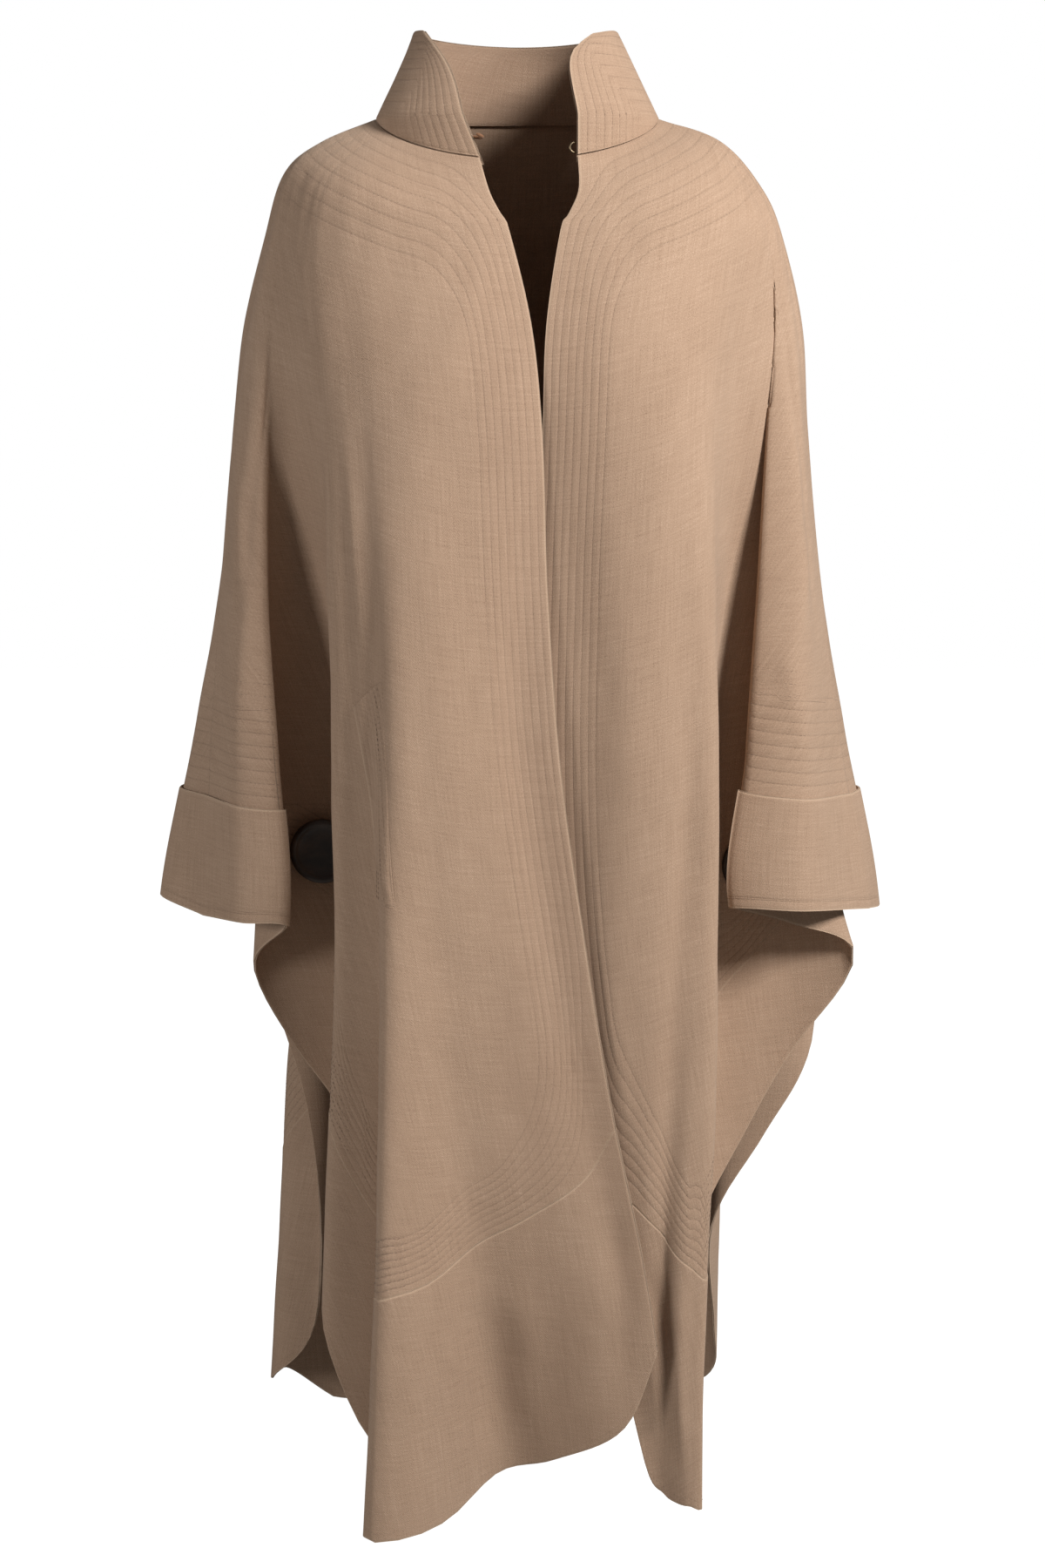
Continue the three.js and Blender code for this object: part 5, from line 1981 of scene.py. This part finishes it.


# Creases: (line number, height in millimetres) along each, half width, rise.
RIGHT_CREASES = (
    Crease(((0.4, -300), (0.9, -520), (0.8, -760), (0.7, -980), (0.9, -1120)), 30, -8.5),
    Crease(((3.1, -250), (2.6, -520), (2.7, -760), (2.5, -1000), (2.6, -1150)), 38, 7.0),
    Crease(((3.9, -420), (3.8, -640), (4.0, -880)), 18, 2.6),
    Crease(((0.9, -120), (2.2, -200), (4.2, -300)), 24, 1.8),
    Crease(((5.2, -600), (4.6, -780), (4.7, -960)), 14, 1.6),
    Crease(((8.0, -240), (7.4, -420), (7.6, -640)), 12, 2.2),
    Crease(((9.2, -300), (9.3, -480), (9.0, -700)), 15, 3.6),
    Crease(((13.2, -200), (14.4, -330), (15.0, -480)), 14, -2.2),
    Crease(((15.3, -260), (14.6, -420), (15.2, -590)), 12, 1.6),
    Crease(((0.6, -930), (0.7, -1040), (1.1, -1140)), 16, -4.2),
    Crease(((2.4, -1000), (2.3, -1080), (2.5, -1180)), 13, 2.6),
    Crease(((3.3, -1010), (3.1, -1090), (3.0, -1190)), 11, -2.8),
)
LEFT_CREASES = (
    Crease(((4.2, -420), (3.9, -640), (3.3, -860), (2.6, -1060), (2.8, -1180)), 22, -9.0),
    Crease(((2.4, -380), (2.2, -640), (1.7, -880), (1.2, -1040)), 30, 4.5),
    Crease(((1.6, -260), (2.4, -480), (2.6, -650)), 24, 2.0),
    Crease(((4.4, -180), (3.6, -360), (3.9, -560)), 18, -2.0),
    Crease(((12.4, -150), (13.2, -300), (13.5, -470)), 13, -2.4),
    Crease(((13.4, -330), (12.7, -470), (13.2, -600)), 12, 1.8),
    Crease(((2.2, -1000), (2.4, -1090), (2.2, -1180)), 14, -2.6),
    Crease(((3.6, -1010), (3.4, -1100), (3.6, -1190)), 12, 2.4),
)
BACK_CREASES = (
    Crease(((10.2, -180), (9.7, -420), (9.9, -760), (9.6, -1040)), 24, -3.4),
    Crease(((11.0, -260), (11.3, -520), (10.9, -820), (11.2, -1060)), 22, 3.0),
    Crease(((12.6, -220), (12.2, -470), (12.6, -780), (12.3, -1080)), 26, -3.2),
    Crease(((8.7, -200), (9.1, -440), (8.8, -700)), 20, 2.4),
    Crease(((13.6, -300), (13.2, -560), (13.7, -880)), 20, 2.2),
    Crease(((9.3, -760), (8.7, -930), (8.9, -1120)), 18, -3.0),
    Crease(((11.6, -880), (11.9, -1040), (11.7, -1230)), 18, 2.8),
    Crease(((7.4, -320), (7.7, -560), (7.2, -820)), 16, 2.2),
    Crease(((14.5, -280), (14.2, -520), (14.6, -800)), 16, -2.2),
    Crease(((2.2, -220), (1.5, -380), (1.2, -540)), 14, -2.4),
    Crease(((20.9, -220), (21.4, -400), (21.6, -560)), 14, -2.4),
    Crease(((1.9, -420), (2.4, -520), (1.9, -640)), 11, 1.8),
    Crease(((20.9, -430), (20.5, -540), (21.1, -640)), 11, 1.8),
)


class Studio:
    """The floor, the soft lights, and the camera at the photograph's place."""

    floor_height = -1.392
    camera_place = (0.0, -2.27, -0.192)
    camera_tilt = 80.0
    lens = 57.54
    sensor = 36.0

    def build(self) -> None:
        """Make the stage, the lights, the surrounding light and the camera."""
        self._stage()
        self._light("key", (1.75, -1.6, 1.15), (0.0, 0.0, -0.42), 0.7, 108.0, (1.0, 0.985, 0.965))
        self._light("left fill", (-2.35, -1.35, -0.1), (-0.25, 0.0, -0.5), 0.8, 24.0, (1.0, 0.99, 0.98))
        world = bpy.data.worlds.new("soft room")
        world.use_nodes = True
        background = world.node_tree.nodes["Background"]
        background.inputs["Color"].default_value = (1.0, 1.0, 1.0, 1)
        seen = world.node_tree.nodes.new("ShaderNodeLightPath")
        strength = world.node_tree.nodes.new("ShaderNodeMath")
        strength.operation = "MULTIPLY_ADD"
        strength.inputs[1].default_value = 0.9
        strength.inputs[2].default_value = 0.1
        world.node_tree.links.new(seen.outputs["Is Camera Ray"], strength.inputs[0])
        world.node_tree.links.new(strength.outputs["Value"], background.inputs["Strength"])
        bpy.context.scene.world = world
        bpy.context.scene.view_settings.view_transform = "Standard"
        self._camera()

    def _stage(self) -> None:
        """Make the floor."""
        half = 7.0
        z = self.floor_height
        corners = [(-half, -half, z), (half, -half, z), (half, half, z), (-half, half, z)]
        floor = finished("floor", np.array(corners), [(0, 1, 2, 3)], StageFinish().material())

    @staticmethod
    def _light(
        name: str,
        place: Triple,
        towards: Triple,
        size: float,
        power: float,
        colour: Triple,
    ) -> None:
        """Make a soft square light.

        Args:
            name: Its name.
            place: Where it stands.
            towards: What it points at.
            size: Its width.
            power: Its power in watts.
            colour: Its colour.
        """
        data = bpy.data.lights.new(name, "AREA")
        data.size = size
        data.energy = power
        data.color = colour
        lamp = placed(name, data)
        lamp.location = place
        lamp.rotation_euler = (Vector(towards) - Vector(place)).to_track_quat("-Z", "Y").to_euler()

    def _camera(self) -> None:
        """Make the camera."""
        data = bpy.data.cameras.new("camera")
        data.lens = self.lens
        data.sensor_width = self.sensor
        camera = placed("camera", data)
        camera.location = self.camera_place
        camera.rotation_euler = (math.radians(self.camera_tilt), 0, 0)
        bpy.context.scene.camera = camera


@dataclass(frozen=True)
class Cut:
    """A cloth piece's flat cut: width and length in metres, and its area in square metres."""

    flat: tuple[float, float]
    area: float
    rests_on: tuple[str, ...]


class Cape:
    """The whole cape, piece by piece."""

    def __init__(self) -> None:
        """Work out the sheets and make the finishes."""
        plan = RowPlan()
        right = Sheet(RIGHT_FRONT, (16.4, 90.0), 1, RIGHT_CREASES, (len(RIGHT_FRONT) - 1.0,))
        left = Sheet(LEFT_FRONT, (336.7, 270.0), -1, LEFT_CREASES, (len(LEFT_FRONT) - 1.0,))
        back = Sheet(BACK, (90.0, 270.0), 1, BACK_CREASES, (0.0, len(BACK) - 1.0))
        self.right = Panel(
            "front_right", right, (0, right.number("sleeve inner edge")), 0, plan,
            ((right.number("sleeve inner edge"), right.end, -602, -597),), True,
        )
        self.left = Panel(
            "front_left", left, (0, left.number("sleeve inner edge")), 0, plan,
            ((left.number("sleeve inner edge"), left.end, -584, -600),), True,
        )
        self.back = Panel(
            "back", back,
            (back.number("right sleeve inner edge"), back.number("left sleeve inner edge")),
            back.number("centre back"), plan,
            ((3, 0, -597, -597), (back.end - 3, back.end, -600, -600)), False,
        )
        groups = WoolGroups()
        outside = WoolFinish(Wool.OUTSIDE, (0.57, 0.405, 0.295), (0.41, 0.275, 0.19), (0.24, 0.15, 0.1))
        inside = WoolFinish(Wool.INSIDE, (0.52, 0.37, 0.27), (0.38, 0.25, 0.172), (0.22, 0.138, 0.09))
        self.outside = outside.material(groups)
        self.inside = inside.material(groups)
        self.thread = ThreadFinish("topstitch thread", (0.3, 0.195, 0.13), (0.12, 0.075, 0.048)).material()
        self.hook_thread = ThreadFinish("hook thread", (0.3, 0.14, 0.06), (0.12, 0.05, 0.022)).material()
        self.horn = HornFinish().material()
        self.bronze = WireFinish().material()
        self.stitches = StitchTree(self.thread)
        self.collar = Collar()

    def keep(self, piece: Object, node: str | None, slot: str) -> Object:
        """Put a piece on the body, in its node's place.

        Args:
            piece: The piece.
            node: The solid that it replaces, if any.
            slot: The record's material slot; not used.

        Returns:
            The piece.
        """
        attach(piece, "root")
        if node:
            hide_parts(node)
        log.info("%s: %d faces", piece.name, len(piece.data.polygons))
        return piece

    def add_cloth(self, node: str, cloth: Cloth, wall: float, slot: str = "wool") -> Object:
        """Make a cloth piece in its node's place.

        Args:
            node: The solid's name.
            cloth: The cloth.
            wall: Its thickness.
            slot: The record's material slot.

        Returns:
            The piece.
        """
        shell = thin_shell(cloth.points, cloth.normals, cloth.flat, cloth.rows, cloth.rims, wall)
        material = self.outside if slot == "wool" else self.inside
        piece = self.keep(shell.build(f"{node}_cloth", material), node, slot)
        return piece

    def add_stitches(self, line: StitchLine, **sizes: float) -> None:
        """Sew a piece's stitch paths, where it has any."""
        if line.paths:
            self.keep(self.stitches.sew(line, **sizes), None, "wool")

    def build(self) -> None:
        """Make every piece of the cape."""
        for panel in (self.right, self.left, self.back):
            self.build_panel(panel)
        self.build_cuffs()
        self.build_collar()
        self.build_welt()
        self.build_fastenings()

    def build_panel(self, panel: Panel) -> None:
        """Make a panel with its hem band and their stitching."""
        self.add_cloth(panel.name, panel.panel_cloth(), CLOTH)
        line = StitchLine(f"{panel.name}_topstitching")
        panel.sew(line)
        self.add_stitches(line, Length=0.0030)
        band = panel.band_cloth()
        self.add_cloth(f"{panel.name}_hem_band", band, BAND_CLOTH)
        line = StitchLine(f"{panel.name}_hem_topstitching")
        follow_edge(line, band, 0.0082, BAND_CLOTH / 2)
        self.add_stitches(line, Length=0.0030)

    def build_cuffs(self) -> None:
        """Make the two cuffs and their stitching."""
        last = self.back.sheet.end
        for cuff in (
            Cuff("cuff_right", self.right, self.back, (0, 3), (-602, -597)),
            Cuff("cuff_left", self.left, self.back, (last, last - 3), (-584, -600)),
        ):
            cloth = cuff.cloth()
            self.add_cloth(cuff.name, cloth, CLOTH)
            line = StitchLine(f"{cuff.name}_topstitching")
            follow_edge(line, cloth, cuff.inset, CLOTH / 2, 2)
            self.add_stitches(line)

    def build_collar(self) -> None:
        """Make the collar's two layers and their stitching."""
        self.add_cloth("collar", self.collar.layer(0.0), COLLAR_WALL)
        facing = self.collar.layer(COLLAR_WALL + SEAM_GAP)
        self.add_cloth("collar_facing", facing, COLLAR_WALL, "wool_inside")
        line = StitchLine("collar_topstitching")
        self.collar.sew(line)
        self.add_stitches(line)

    def build_welt(self) -> None:
        """Make the pocket welt and its stitching."""
        welt = PocketWelt()
        self.add_cloth("pocket_welt", welt.cloth(self.right), welt.wall)
        line = StitchLine("pocket_topstitching")
        welt.sew(line, self.right)
        self.add_stitches(line)

    def build_fastenings(self) -> None:
        """Make the buttons, the hook and the eye."""
        for name in ("button_right", "button_left"):
            self.keep(Button(name).make(self.horn), name, "button")
        fastening = Fastening(self.collar)
        self.keep(fastening.hook(self.hook_thread), "hook", "hook_thread")
        self.keep(fastening.eye(self.bronze), "eye", "eye_metal")
        self.add_stitches(fastening.bindings(), Pitch=0.0011, Length=0.0016, Thickness=0.0006)


def follow_edge(line: StitchLine, cloth: Cloth, inset: float, lift: float, ends: int = 1) -> None:
    """Add stitching a fixed way inside the lowest row of a cloth grid.

    Args:
        line: The stitching that the path is added to.
        cloth: The cloth.
        inset: How far the stitching lies from the edge.
        lift: How far it lies outside the cloth's middle layer.
        ends: How many of the grid's columns are left out at both ends.
    """
    down = travelled(cloth.points, 1)
    path, normals = [], []
    for k in range(ends, len(cloth.points) - ends):
        place = down[k, -1] - inset
        point, normal = (
            np.array([np.interp(place, down[k], grid[k, :, a]) for a in range(3)])
            for grid in (cloth.points, cloth.normals)
        )
        path.append(point + normal * lift)
        normals.append(normal)
    line.add(np.array(path), np.array(normals))


def main() -> None:
    """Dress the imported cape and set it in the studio."""
    logging.basicConfig(level=logging.INFO, format="%(name)s: %(message)s")
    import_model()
    Studio().build()
    Cape().build()


if __name__ == "__main__":
    main()
